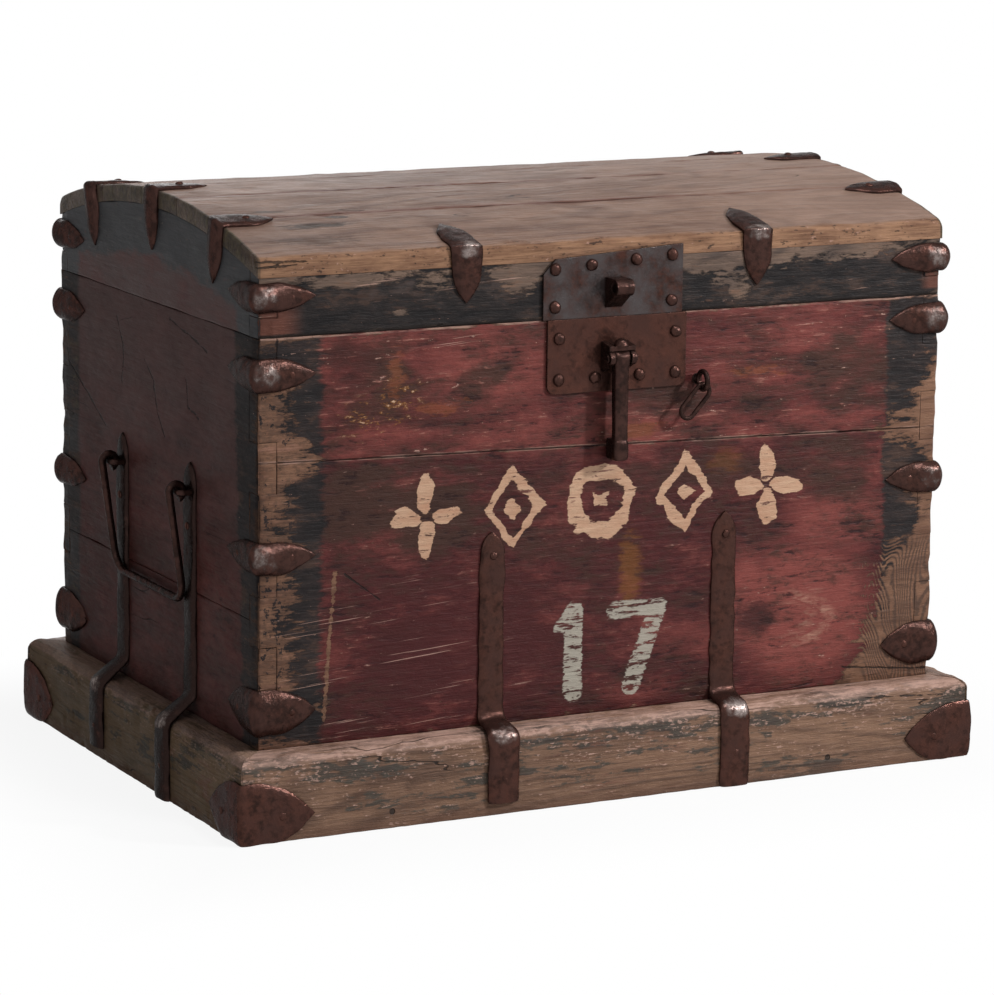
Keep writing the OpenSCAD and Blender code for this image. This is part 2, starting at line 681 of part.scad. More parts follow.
// Side view of a lid front strap: up the front, round the edge and over the arch
module lid_strap_profile() difference() {
    union() {
        translate([-half_d - strap_t, joint_z]) square([strap_t, lid_side_h]);
        translate([-half_d, edge_z]) circle(strap_t);
        intersection() {
            translate([0, arch_z]) circle(arch_r + seat_gap + strap_t, $fn = arch_fn);
            translate([-half_d, edge_z]) square([half_d, 2 * lid_rise]);
        }
    }
    intersection() {
        translate([0, arch_z]) circle(arch_r + seat_gap, $fn = arch_fn);
        translate([-half_d, joint_z - 1]) square([half_d, body_h]);
    }
}
module lid_front_straps() color(iron) for (side = [-1, 1]) translate([side * lid_strap_x, 0, 0]) intersection() {
    rotate([90, 0, 90]) linear_extrude(lid_strap_w, center = true) lid_strap_profile();
    union() {
        on_front(half_d - 1) translate([0, edge_z, 0]) rotate(-90) linear_extrude(strap_t + 2)
            leaf(lid_strap_front_len, lid_strap_w, lid_strap_front_len * lid_leaf_straight);
        translate([0, -half_d - strap_t - 1, edge_z]) rotate(90) linear_extrude(2 * lid_rise)
            leaf(lid_strap_top_len + strap_t + 1, lid_strap_w, lid_strap_top_len * lid_leaf_straight);
    }
}

// Places a piece at one of the three lid straps of the left end, square to the arch
module at_lid_strap(i) {
    y = i * lid_strap_step + lid_strap_back;
    translate([-half_w, y, arch_top(y)]) rotate([-arch_lean(y), 0, 0]) translate([0, 0, seat_gap]) children();
}
// Lid end straps: down the end, round the edge and inwards over the top
module lid_end_straps() color(iron) for (side = [-1, 1], i = [-1, 0, 1]) flip_x(side > 0) at_lid_strap(i) {
    linear_extrude(strap_t) leaf(lid_strap_top_len, lid_strap_w, lid_strap_top_len * lid_leaf_straight);
    rotate([0, 90, 180]) linear_extrude(strap_t)
        leaf(lid_strap_end_len, lid_strap_w, lid_strap_end_len * lid_leaf_straight);
    rotate([90, 0, 0]) rotate([0, 0, 90]) translate([0, 0, -lid_strap_w / 2])
        rotate_extrude(angle = 90) square([strap_t, lid_strap_w]);
}

// Upper lock plate: its top edge climbs to the right, its top left corner is cut off
function plate_top(x) = plate_upper_left + (plate_upper_right - plate_upper_left) * (x / plate_w + 0.5);
module lock_plate_upper() color(iron) on_front() translate([-plate_upper_shift, lid_z, 0]) linear_extrude(plate_t)
    polygon([
        [-plate_w / 2, 0], [plate_w / 2, 0], [plate_w / 2, plate_upper_right],
        [-plate_w / 2 + plate_cut, plate_top(-plate_w / 2 + plate_cut)],
        [-plate_w / 2, plate_upper_left - plate_cut]
    ]);
module lock_nails_upper() color(iron) on_front(half_d + plate_t) translate([-plate_upper_shift, lid_z, 0]) {
    for (x = [-dome_end, dome_end]) translate([x, dome_inset, 0]) dome(dome_d, dome_h);
    for (x = [-dome_end, -dome_middle, dome_middle, dome_end])
        translate([x, plate_top(x) - dome_d / 2 - 4, 0]) dome(dome_d, dome_h);
}

// Padlock lug: a deep root on the plate and a round end with the padlock's hole
lug_r = lug_hole_d / 2 + lug_rim;
module lock_lug() color(iron) on_front(half_d + plate_t) translate([-plate_upper_shift, joint_z + lug_z, 0])
    rotate([0, -90, 0]) linear_extrude(lug_w, center = true) difference() {
        union() {
            translate([lug_out, 0]) circle(lug_r);
            polygon([[0, lug_r - lug_root], [lug_out, -lug_r], [lug_out, lug_r], [0, lug_r]]);
        }
        translate([lug_out, 0]) circle(d = lug_hole_d);
    }

// Heads of the nails that hold the straps, on the straps' flat stretches
module nail() dome(nail_d, nail_h);
module band_nails(x, y, len_x, len_y) {
    on_front(y + corner_t) translate([0.55 * len_x - x, 0, 0]) nail();
    on_left(x + corner_t) translate([y - 0.55 * len_y, 0, 0]) nail();
}
module long_strap_nails(drop, top) {
    translate([0, top - drop, strap_t]) nail();
    translate([0, 0.42 * base_h, base_ledge + seat_gap + strap_t]) nail();
}
module box_strap_nails() color(iron) {
    for (side = [-1, 1], end = [-1, 1]) at_corner(side, end) {
        for (z = corner_z(side)) translate([0, 0, z]) band_nails(half_w, half_d, corner_len, corner_end_len);
        translate([0, 0, base_plate_tip]) band_nails(base_half_w, base_half_d, base_plate_len, base_plate_len);
    }
    for (side = [-1, 1], back = [false, true]) flip_y(back) on_front() translate([side * front_strap_x, 0, 0])
        long_strap_nails(strap_tip, front_strap_top);
    for (side = [-1, 1], end = [-1, 1]) on_side(side) translate([handle_x(end), 0, 0])
        long_strap_nails(bail_below_tip + 40, handle_strap_top);
    for (side = [-1, 1], share = [0.35, 0.72]) at_hinge(side)
        translate([0, -hinge_leaf_box * share, corner_t]) nail();
}
module lid_strap_nails() color(iron) {
    for (side = [-1, 1], end = [-1, 1]) at_corner(side, end) translate([0, 0, joint_z + lid_corner_z])
        band_nails(half_w, half_d, corner_len, corner_end_len);
    for (side = [-1, 1]) on_front(half_d + strap_t)
        translate([side * lid_strap_x, edge_z - 0.45 * lid_strap_front_len, 0]) nail();
    for (side = [-1, 1], i = [-1, 0, 1]) flip_x(side > 0) at_lid_strap(i) {
        translate([0.5 * lid_strap_top_len, 0, strap_t]) nail();
        translate([-strap_t, 0, -0.5 * lid_strap_end_len]) rotate([0, -90, 0]) nail();
    }
    for (side = [-1, 1], share = [0.35, 0.7]) at_hinge(side)
        translate([0, hinge_leaf_lid * share, corner_t]) nail();
}

base_rail_front();
base_rail_back();
base_rail_left();
base_rail_right();
bottom_boards();
front_board_upper();
front_board_lower();
back_board_upper();
back_board_lower();
left_board_upper();
left_board_lower();
right_board_upper();
right_board_lower();
base_corner_plates();
corner_straps_front_left();
corner_straps_front_right();
corner_straps_back_left();
corner_straps_back_right();
front_strap_left();
front_strap_right();
back_strap_left();
back_strap_right();
left_strap_front();
left_strap_back();
right_strap_front();
right_strap_back();
left_handle_staples();
right_handle_staples();
left_handle();
right_handle();
lock_plate_lower();
lock_nails_lower();
hasp_bracket();
hasp_pin();
hasp();
ring_eye();
ring_link();
box_strap_nails();
hinge_leaf_box_left();
hinge_leaf_box_right();
hinge_pin_left();
hinge_pin_right();
lid_front_board();
lid_back_board();
lid_end_left();
lid_end_right();
lid_top_board(1);  // lid_top_board_1
lid_top_board(2);  // lid_top_board_2
lid_top_board(3);  // lid_top_board_3
lid_top_board(4);  // lid_top_board_4
lid_top_board(5);  // lid_top_board_5
lid_corner_straps();
lid_front_straps();
lid_end_straps();
lid_strap_nails();
lock_plate_upper();
lock_nails_upper();
lock_lug();
hinge_leaf_lid_left();
hinge_leaf_lid_right();
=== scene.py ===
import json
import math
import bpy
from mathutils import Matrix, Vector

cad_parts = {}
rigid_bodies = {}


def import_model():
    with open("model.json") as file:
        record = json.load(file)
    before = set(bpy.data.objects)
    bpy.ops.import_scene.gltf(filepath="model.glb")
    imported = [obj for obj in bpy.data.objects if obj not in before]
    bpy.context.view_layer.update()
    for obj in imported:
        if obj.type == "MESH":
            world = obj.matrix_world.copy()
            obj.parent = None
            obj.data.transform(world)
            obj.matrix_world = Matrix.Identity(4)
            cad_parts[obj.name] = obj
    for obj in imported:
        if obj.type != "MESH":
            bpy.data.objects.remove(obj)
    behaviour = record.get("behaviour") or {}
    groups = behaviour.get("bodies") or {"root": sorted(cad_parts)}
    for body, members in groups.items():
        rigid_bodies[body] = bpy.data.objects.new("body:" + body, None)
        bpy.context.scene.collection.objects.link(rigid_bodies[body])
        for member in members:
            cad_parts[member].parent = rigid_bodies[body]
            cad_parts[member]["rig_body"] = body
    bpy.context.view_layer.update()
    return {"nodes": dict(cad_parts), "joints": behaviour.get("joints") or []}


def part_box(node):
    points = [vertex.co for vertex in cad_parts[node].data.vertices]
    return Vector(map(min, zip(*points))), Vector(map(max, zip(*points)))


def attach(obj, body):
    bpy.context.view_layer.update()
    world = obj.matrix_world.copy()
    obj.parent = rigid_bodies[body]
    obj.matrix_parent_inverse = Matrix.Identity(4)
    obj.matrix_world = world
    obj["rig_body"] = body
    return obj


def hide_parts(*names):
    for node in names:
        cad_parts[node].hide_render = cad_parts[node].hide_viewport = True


bl_info = {
    "name": "Iron-Bound Chest",
    "version": (1, 0, 0),
    "blender": (4, 5, 0),
    "location": "3D View > Sidebar > Chest",
    "description": "Dresses a wooden chest: worn lacquered boards, forged straps, lock, handles and a stage",
    "category": "Add Mesh",
}

from functools import reduce
from operator import or_
from types import SimpleNamespace

import bpy
import numpy as np
from bpy.props import FloatProperty, FloatVectorProperty, IntProperty, PointerProperty
from mathutils import Matrix, Vector

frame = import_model()


def corners(node):
    """Lowest and highest corner of a CAD node, as arrays."""
    low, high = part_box(node)
    return np.array(low), np.array(high)


def wall_axes(side):
    """Directions along a wall and out of it, half its length and how far out it stands."""
    out = {"front": -Y, "back": Y, "left": -X, "right": X}[side]
    return (X, out, HALF_W, HALF_D) if side in LONG_SIDES else (Y, out, HALF_D, HALF_W)


# Main sizes in metres, read from the frame
HALF_W = corners("front_board_lower")[1][0]
HALF_D = -corners("front_board_lower")[0][1]
BASE_H = corners("base_rail_front")[1][2]
BASE_HALF_W = -corners("base_rail_left")[0][0]
BASE_HALF_D = -corners("base_rail_front")[0][1]
LEDGE = BASE_HALF_D - HALF_D
JOINT_Z = corners("back_board_upper")[1][2]
CROWN_Z = corners("lid_top_board_3")[1][2]
RAIL_W = corners("base_rail_front")[1][1] + BASE_HALF_D

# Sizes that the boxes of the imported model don't give
LID_H = 0.086
EDGE_Z = JOINT_Z + LID_H
RISE = CROWN_Z - EDGE_Z
ARCH_R = (HALF_D**2 + RISE**2) / (2 * RISE)
ARCH_Z = CROWN_Z - ARCH_R
TOP_T = 0.020
WALL_T = 0.022
BOARD_GAP = 0.0002
FINGERS = 8
LID_FINGERS = 3
TOP_BOARDS = 5
RAIL_ROUND = 0.012
STRAP_T = 0.004
STRAP_BEND = 0.010
SEAT = 0.00015
X, Y, Z = np.eye(3)
SIDES = ("front", "back", "left", "right")
LONG_SIDES = ("front", "back")


# Meshes

# Distances from an edge at which a board gets grid lines, so that the edge can be worn round
EDGE_LINES = (0, 0.0008, 0.0018, 0.0032)
# Radius of the chest's vertical corners, about which it varies
CORNER_ROUND = 0.0026
# A face looks along an axis where its normal leans to it more than 45 degrees
LEAN_45 = 0.7072


def arch_height(y):
    """Height of the lid's top over y: a circle about a line along X."""
    return ARCH_Z + np.sqrt(ARCH_R**2 - y**2)


def unevenness(points, size, seed, waves=16):
    """A smooth random field over space, about one in height: a sum of sine waves, each with its own
    direction, its own phase and a length near size."""
    rng = np.random.default_rng(seed)
    turns = rng.normal(size=(waves, 3)) * (2.2 / size)
    return np.sin(points @ turns.T + rng.uniform(0, 2 * np.pi, waves)).sum(-1) / math.sqrt(waves / 2)


def varied(points, size, seed, share, least, most):
    """A factor about one that swings over space with a smooth random field, by share of it and kept
    between least and most."""
    return np.clip(1 + share * unevenness(points, size, seed), least, most)


def outward(points, quads):
    """True where the faces point outwards: their signed volume, a third of the sum of position times
    area, is positive."""
    a, b, c, d = (points[quads[:, n]] for n in range(4))
    return (np.cross(c - a, d - b) * (a + b + c + d)).sum() > 0


def tube(points, wear=None):
    """A closed solid from points[ring, place round the ring], its two ends closed by one face each."""
    rings, count = points.shape[:2]
    flat = points.reshape(-1, 3)
    i, j = np.meshgrid(np.arange(rings - 1), np.arange(count), indexing="ij")
    here, beside = i * count + j, i * count + (j + 1) % count
    quads = np.stack([here, beside, beside + count, here + count], -1).reshape(-1, 4)
    faces = quads.tolist() + [list(range(count))[::-1], list(range((rings - 1) * count, rings * count))]
    if not outward(flat, quads):
        faces = [face[::-1] for face in faces]
    return flat, faces, np.zeros(len(flat)) if wear is None else wear.ravel()


def join(parts):
    """One list of points, of faces and of wear from several solids."""
    points, faces, wear, start = [], [], [], 0
    for flat, own, worn in parts:
        points.append(flat)
        faces += [[start + n for n in face] for face in own]
        wear.append(worn)
        start += len(flat)
    return np.concatenate(points), faces, np.concatenate(wear)


def place(name, parts, node, material, sharp=40, around=None):
    """Makes the piece of these solids, which replaces a CAD node and rides on its body. Its points
    carry how worn they are, from 0 to 1, for the material; on the straps that is how bright the iron is
    polished, partly a painted highlight. around is an axis with a second material, for faces that look
    along that axis: paint runs over the ends of joined boards."""
    points, faces, worn = join(parts)
    mesh = bpy.data.meshes.new(name)
    mesh.from_pydata(points.tolist(), [], faces)
    mesh.attributes.new("wear", "FLOAT", "POINT").data.foreach_set("value", worn.astype(np.float32))
    mesh.validate()
    mesh.shade_smooth()
    mesh.set_sharp_from_angle(angle=math.radians(sharp))
    piece = bpy.data.objects.new(name, mesh)
    bpy.context.scene.collection.objects.link(piece)
    mesh.materials.append(material)
    if around is not None:
        axis, second = around
        mesh.materials.append(second)
        normals = np.zeros(len(mesh.polygons) * 3, np.float32)
        mesh.polygons.foreach_get("normal", normals)
        turned = np.abs(normals.reshape(-1, 3)[:, axis]) > LEAN_45
        mesh.polygons.foreach_set("material_index", turned.astype(np.int32))
    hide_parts(node)
    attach(piece, frame["nodes"][node]["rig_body"])
    return piece


def close_lines(ends, inner, step):
    """Grid lines from one end to the other, a step apart, with closer ones beside the ends and beside
    each inner line, so that edges can be rounded there."""
    least = 0.0006
    near = np.array([*EDGE_LINES[1:], 0.0060])
    exact = np.array([*ends, *inner])
    extra = np.concatenate([exact[:, None] + near, exact[:, None] - near]).ravel()
    extra = np.sort(np.concatenate([extra, np.arange(ends[0], ends[1], step)]))
    extra = extra[(extra > ends[0]) & (extra < ends[1])]
    extra = extra[np.abs(extra[:, None] - exact).min(1) > least]
    extra = extra[np.concatenate([[True], np.diff(extra) > least])]
    return np.unique(np.concatenate([exact, extra]))


def block_faces(solid, layers):
    """Faces of a block of cells that are solid or not, the same through all its layers. Every solid
    cell has a face on the first and the last layer, and a wall stands wherever solid meets empty.
    Point (i, j, k) is number (i * lines + j) * layers + k."""
    number = np.arange((solid.shape[0] + 1) * (solid.shape[1] + 1) * layers)
    number = number.reshape(solid.shape[0] + 1, solid.shape[1] + 1, layers)
    i, j = np.nonzero(solid)
    flat = number[i, j], number[i + 1, j], number[i + 1, j + 1], number[i, j + 1]
    quads = [np.stack([n[:, 0] for n in flat[::-1]], -1), np.stack([n[:, -1] for n in flat], -1)]
    padded = np.pad(solid, 1)
    for turn in (1, -1):
        here, beyond = (padded[:-1], padded[1:])[::turn]
        i, j = np.nonzero((here & ~beyond)[:, 1:-1])
        quads.append(strips(number[i, j], number[i, j + 1], turn))
        here, beyond = (padded[:, :-1], padded[:, 1:])[::turn]
        i, j = np.nonzero((here & ~beyond)[1:-1])
        quads.append(strips(number[i, j], number[i + 1, j], -turn))
    return np.concatenate(quads)


def strips(first, second, turn):
    """Quads between two columns of points, one for each layer."""
    quads = np.stack([first[:, :-1], second[:, :-1], second[:, 1:], first[:, 1:]], -1).reshape(-1, 4)
    return quads[:, ::turn]


def rounded(inset, depth, radius):
    """A square edge made round: a point nearer to both faces than the radius is pulled onto a circle
    about the point a radius inside them, so that its larger distance from there becomes its whole one."""
    da, db = np.maximum(radius - inset, 0), np.maximum(radius - depth, 0)
    share = np.where((da > 0) & (db > 0), np.maximum(da, db) / np.maximum(np.hypot(da, db), 1e-9), 1)
    return np.where(da > 0, radius - da * share, inset), np.where(db > 0, radius - db * share, depth)


def board(us, hs, solid, shape, side, seed, worn):
    """A board standing in a wall. us and hs are grid lines along it and up it, and shape turns them
    with the depth into real distances along and heights. Its outline, with the notches of its joints,
    is worn round by a radius that a smooth random field varies. Its vertical corners are those of the
    whole chest, worn round as one."""
    along, out, _, outer = wall_axes(side)
    ds = np.array([*EDGE_LINES, 0.010, WALL_T])
    # The four cells round each grid point tell whether it lies on the outline, and which way is inwards
    cells = np.pad(solid, 1).astype(int)
    low_low, high_low = cells[:-1, :-1], cells[1:, :-1]
    low_high, high_high = cells[:-1, 1:], cells[1:, 1:]
    count = low_low + high_low + low_high + high_high
    rim = (count > 0) & (count < 4)
    grid = np.stack(np.meshgrid(us, hs, indexing="ij"), -1)
    inward = np.stack([high_low + high_high - low_low - low_high,
                       low_high + high_high - low_low - high_low], -1)
    inward = inward / np.maximum(np.linalg.norm(inward, axis=-1, keepdims=True), 1)
    edge_points, edge_inward = grid[rim], inward[rim]
    flat = grid.reshape(-1, 2)
    apart = np.linalg.norm(flat[:, None] - edge_points, axis=-1)
    nearest = apart.argmin(1)
    inset = apart[np.arange(len(flat)), nearest].reshape(rim.shape)
    away = (flat - edge_points[nearest]).reshape(grid.shape)
    away = away / np.maximum(inset, 1e-6)[..., None]
    away = np.where(inset[..., None] > 1e-6, away, edge_inward[nearest].reshape(grid.shape))

    at = along * grid[..., :1] + out * outer + Z * grid[..., 1:]
    radius = worn * varied(at, 0.035, seed, 0.55, 0.35, 2.4)
    new_inset, new_depth = rounded(inset[..., None], ds, radius[..., None])
    chip = worn * 0.5 * np.clip(unevenness(at, 0.012, seed + 1) - 0.6, 0, 1) * np.exp(-inset / 0.003)
    sag = 0.0003 * (1 + unevenness(at, 0.09, seed + 2)) + chip
    new_depth = new_depth + (sag[..., None] * (ds < WALL_T / 2))
    shift = (new_inset - inset[..., None])[..., None] * away[:, :, None]
    u = grid[:, :, None, 0] + shift[..., 0]
    h = grid[:, :, None, 1] + shift[..., 1]
    u, z = shape(u, h, new_depth)
    points = along * u[..., None] + out * (outer - new_depth)[..., None] + Z * z[..., None]
    wear = np.broadcast_to(np.exp(-inset / 0.009)[..., None], z.shape)

    quads = block_faces(solid, len(ds))
    used, quads = np.unique(quads, return_inverse=True)
    quads = quads.reshape(-1, 4)
    points = worn_corners(points.reshape(-1, 3)[used])
    if not outward(points, quads):
        quads = quads[:, ::-1]
    return points, quads.tolist(), wear.reshape(-1)[used]


def worn_corners(points):
    """Rounds the chest's vertical corners, by a radius that a smooth random field varies with height."""
    half, sign = np.array([HALF_W, HALF_D]), np.sign(points[:, :2])
    corner = np.concatenate([sign, points[:, 2:]], 1)
    radius = CORNER_ROUND * varied(corner, 0.05, 5, 0.6, 0.4, 2.2)
    a, b = rounded(*(half - np.abs(points[:, :2])).T, radius)
    near = np.exp(-np.hypot(a, b) / 0.02) * 0.0007 * varied(corner, 0.022, 6, 1, 0, 2)
    near = near * ((a < 0.015) & (b < 0.015))
    return np.concatenate([sign * (half - np.stack([a, b], -1) - near[:, None]), points[:, 2:]], 1)


def swept(centres, across, out, section):
    """Points of a section[ring, place, (across, out)] carried along centres[ring]."""
    across = np.broadcast_to(across, centres.shape)
    return (
        centres[:, None]
        + section[..., :1] * across[:, None]
        + section[..., 1:] * np.broadcast_to(out, centres.shape)[:, None]
    )


def leaf_half_width(s, length, width, straight):
    """Half the width of a pointed leaf at distance s from its root: even for the straight stretch,
    then an arc of the circle that comes to a point at its length."""
    tip = length - straight
    r = (tip * tip + width * width / 4) / width
    bend = np.sqrt(np.maximum(r * r - np.clip(s - straight, 0, tip) ** 2, 0))
    return np.maximum(width / 2 - r + bend, 0.0004)


def along_leaf(length, straight, count=30):
    """Distances along a leaf, from its root to its point, closer together towards the point."""
    return np.concatenate([
        np.linspace(0, straight, count // 3, endpoint=False),
        straight + (length - straight) * np.sin(np.linspace(0, np.pi / 2, count - count // 3)),
    ])


def strap(centres, across, out, low, high, thick, crown, seed, ridge=2.0, most=0.012, rubbed=1.0,
          reach=0.011):
    """A forged strap carried along centres, which lie on what it is nailed to. Across the strap the
    height is its thickness plus a crown that falls with a power of the distance from the middle, less
    a rounded edge; the hammer's dents are a smooth random field. Nothing stands higher than most.
    rubbed is how bright it is polished where it turns outwards, which is partly a painted highlight, and
    reach how far from there that goes on."""
    over_count, under_count, sunk = 15, 5, 0.0002
    t = (1 - np.cos(np.linspace(0, np.pi, over_count))) / 2
    width = (high - low)[:, None]
    place_across = low[:, None] + width * t
    full = np.clip(width / width.max(), 0.02, 1)
    crown = np.broadcast_to(crown, len(low))[:, None]
    ridge = np.broadcast_to(ridge, len(low))[:, None]
    bulge = full * (1 - np.abs(2 * t - 1) ** ridge)
    height = thick * (0.45 + 0.55 * full) + crown * bulge
    height = height - 0.55 * thick * np.abs(2 * t - 1) ** 10
    under = np.linspace(1, 0, under_count)
    section = np.concatenate([
        np.stack([place_across, height], -1),
        np.stack([low[:, None] + width * under, np.full((len(low), under_count), -sunk)], -1),
    ], 1)
    points = swept(centres, across, out, section)
    dents = unevenness(points, 0.011, seed) * 0.00020 + unevenness(points, 0.03, seed + 1) * 0.00025
    lift = np.minimum(dents, most - section[..., 1]) * (section[..., 1] > 0)
    points += lift[..., None] * np.broadcast_to(out, centres.shape)[:, None]
    edge = unevenness(points, 0.02, seed + 2) * 0.0006 * (np.abs(2 * np.concatenate([t, under]) - 1) > 0.9)
    points += edge[..., None] * np.broadcast_to(across, centres.shape)[:, None]
    points[..., 2] = np.maximum(points[..., 2], 0.0002)
    # Polished places, partly a painted highlight: where the strap turns outwards, most along the middle
    # and more towards the high side of its width
    way, turn = np.gradient(centres, axis=0), np.gradient(out, axis=0)
    angle = np.linalg.norm(turn, axis=1) * ((way * turn).sum(1) > -1e-9)
    along = np.cumsum(np.linalg.norm(way, axis=1))
    near = np.exp(-(((along[:, None] - along) / reach) ** 2))
    polish_highlight = np.clip(near @ angle / 1.1, 0, 1)[:, None] * np.sqrt(np.clip(bulge, 0, 1))
    polish_highlight = polish_highlight * rubbed * (0.7 + 0.3 * t)
    return tube(points, np.concatenate([polish_highlight, np.zeros((len(low), under_count))], 1))


def bar_along(path, radius, seed, count=18):
    """A round forged bar along a path: circles square to it, their radius varied by a smooth random
    field. The frames turn as little as they can from one point to the next."""
    step = np.gradient(path, axis=0)
    step /= np.linalg.norm(step, axis=1, keepdims=True)
    side = np.zeros_like(path)
    side[0] = np.cross(step[0], [0.31, 0.52, 0.79])
    for n in range(1, len(path)):
        side[n] = side[n - 1] - step[n] * (side[n - 1] @ step[n])
    side /= np.linalg.norm(side, axis=1, keepdims=True)
    other = np.cross(step, side)
    a = np.linspace(0, 2 * np.pi, count, endpoint=False)
    r = radius * (1 + 0.03 * np.clip(unevenness(path, 0.03, seed) - 1, -2, 0))[:, None]
    section = np.stack([r * np.cos(a), r * np.sin(a)], -1)
    return tube(path[:, None] + section[..., :1] * side[:, None] + section[..., 1:] * other[:, None])


def nail_head(centre, out, diameter, height, seed):
    """A domed head: a turned profile with a thin rim, slightly out of round and tilted."""
    rng = np.random.default_rng(seed)
    a = np.linspace(0, 2 * np.pi, 20, endpoint=False)
    t = np.linspace(0, 1, 8)
    radius = diameter / 2 * np.concatenate([[1.0], np.cos(t * np.pi / 2) * 0.985])
    radius[-1] = diameter * 0.004
    rise = height * np.concatenate([[-0.06], 0.09 + 0.89 * np.sin(t * np.pi / 2)])
    round_ = 1 + 0.04 * np.sin(2 * a + rng.uniform(0, 6)) + 0.02 * np.sin(5 * a + rng.uniform(0, 6))
    first = np.cross(out, Z if abs(out[2]) < 0.8 else X)
    first /= np.linalg.norm(first)
    second = np.cross(out, first)
    ring = np.cos(a)[:, None] * first + np.sin(a)[:, None] * second
    tilt = 1 + 0.12 * np.cos(a - rng.uniform(0, 6))
    points = (
        centre
        + (radius[:, None] * round_)[..., None] * ring
        + (rise[:, None] * (1 + (tilt - 1) * (radius[:, None] / radius.max())))[..., None] * out
    )
    return tube(points)


# Materials


def math_method(operation, turned=False):
    """A method of Field that adds one Math node, with its two terms turned round where asked."""
    def method(*terms):
        return terms[0].surface.math(operation, *(terms[::-1] if turned else terms))
    return method


class Field:
    """A number that varies over a surface, so that masks are written as sums and products. The larger
    of two is a | b, the smaller is a & b, and part is what is left over the whole number below."""

    def __init__(self, surface, socket):
        self.surface, self.socket = surface, socket

    __add__ = __radd__ = math_method("ADD")
    __sub__, __rsub__ = math_method("SUBTRACT"), math_method("SUBTRACT", True)
    __mul__ = __rmul__ = math_method("MULTIPLY")
    __truediv__ = math_method("DIVIDE")
    __abs__ = math_method("ABSOLUTE")
    __or__, __and__ = math_method("MAXIMUM"), math_method("MINIMUM")
    root, part = math_method("SQRT"), math_method("FRACT")

    def over(self, low, high):
        """A smooth step from 0 at low to 1 at high; it falls where low is the larger."""
        node = self.surface.node("ShaderNodeMapRange", interpolation_type="SMOOTHSTEP")
        self.surface.feed(node.inputs["Value"], self)
        node.inputs["From Min"].default_value = low
        node.inputs["From Max"].default_value = high
        return Field(self.surface, node.outputs["Result"])

    def within(self, low, high, soft):
        """1 between two values, falling to 0 over a soft stretch outside them."""
        return self.over(low - soft, low) & self.over(high + soft, high)


class Nodes:
    """Builds a node tree, of a material or of the world."""

    def __init__(self, block):
        block.use_nodes = True
        self.tree = block.node_tree
        self.tree.nodes.clear()

    def node(self, kind, **settings):
        node = self.tree.nodes.new(kind)
        for key, value in settings.items():
            setattr(node, key, value)
        return node

    def feed(self, socket, value):
        """Links a field or a socket to a socket, or sets the socket's own value."""
        if isinstance(value, Field):
            value = value.socket
        if isinstance(value, bpy.types.NodeSocket):
            self.tree.links.new(value, socket)
        elif socket.type == "RGBA":
            socket.default_value = (*value, 1)
        else:
            socket.default_value = value

    def math(self, operation, *terms):
        node = self.node("ShaderNodeMath", operation=operation)
        for socket, term in zip(node.inputs, terms):
            self.feed(socket, term)
        return Field(self, node.outputs[0])

    def mix(self, share, first, second):
        node = self.node("ShaderNodeMix", data_type="RGBA")
        self.feed(node.inputs[0], share)
        self.feed(node.inputs[6], first)
        self.feed(node.inputs[7], second)
        return node.outputs[2]


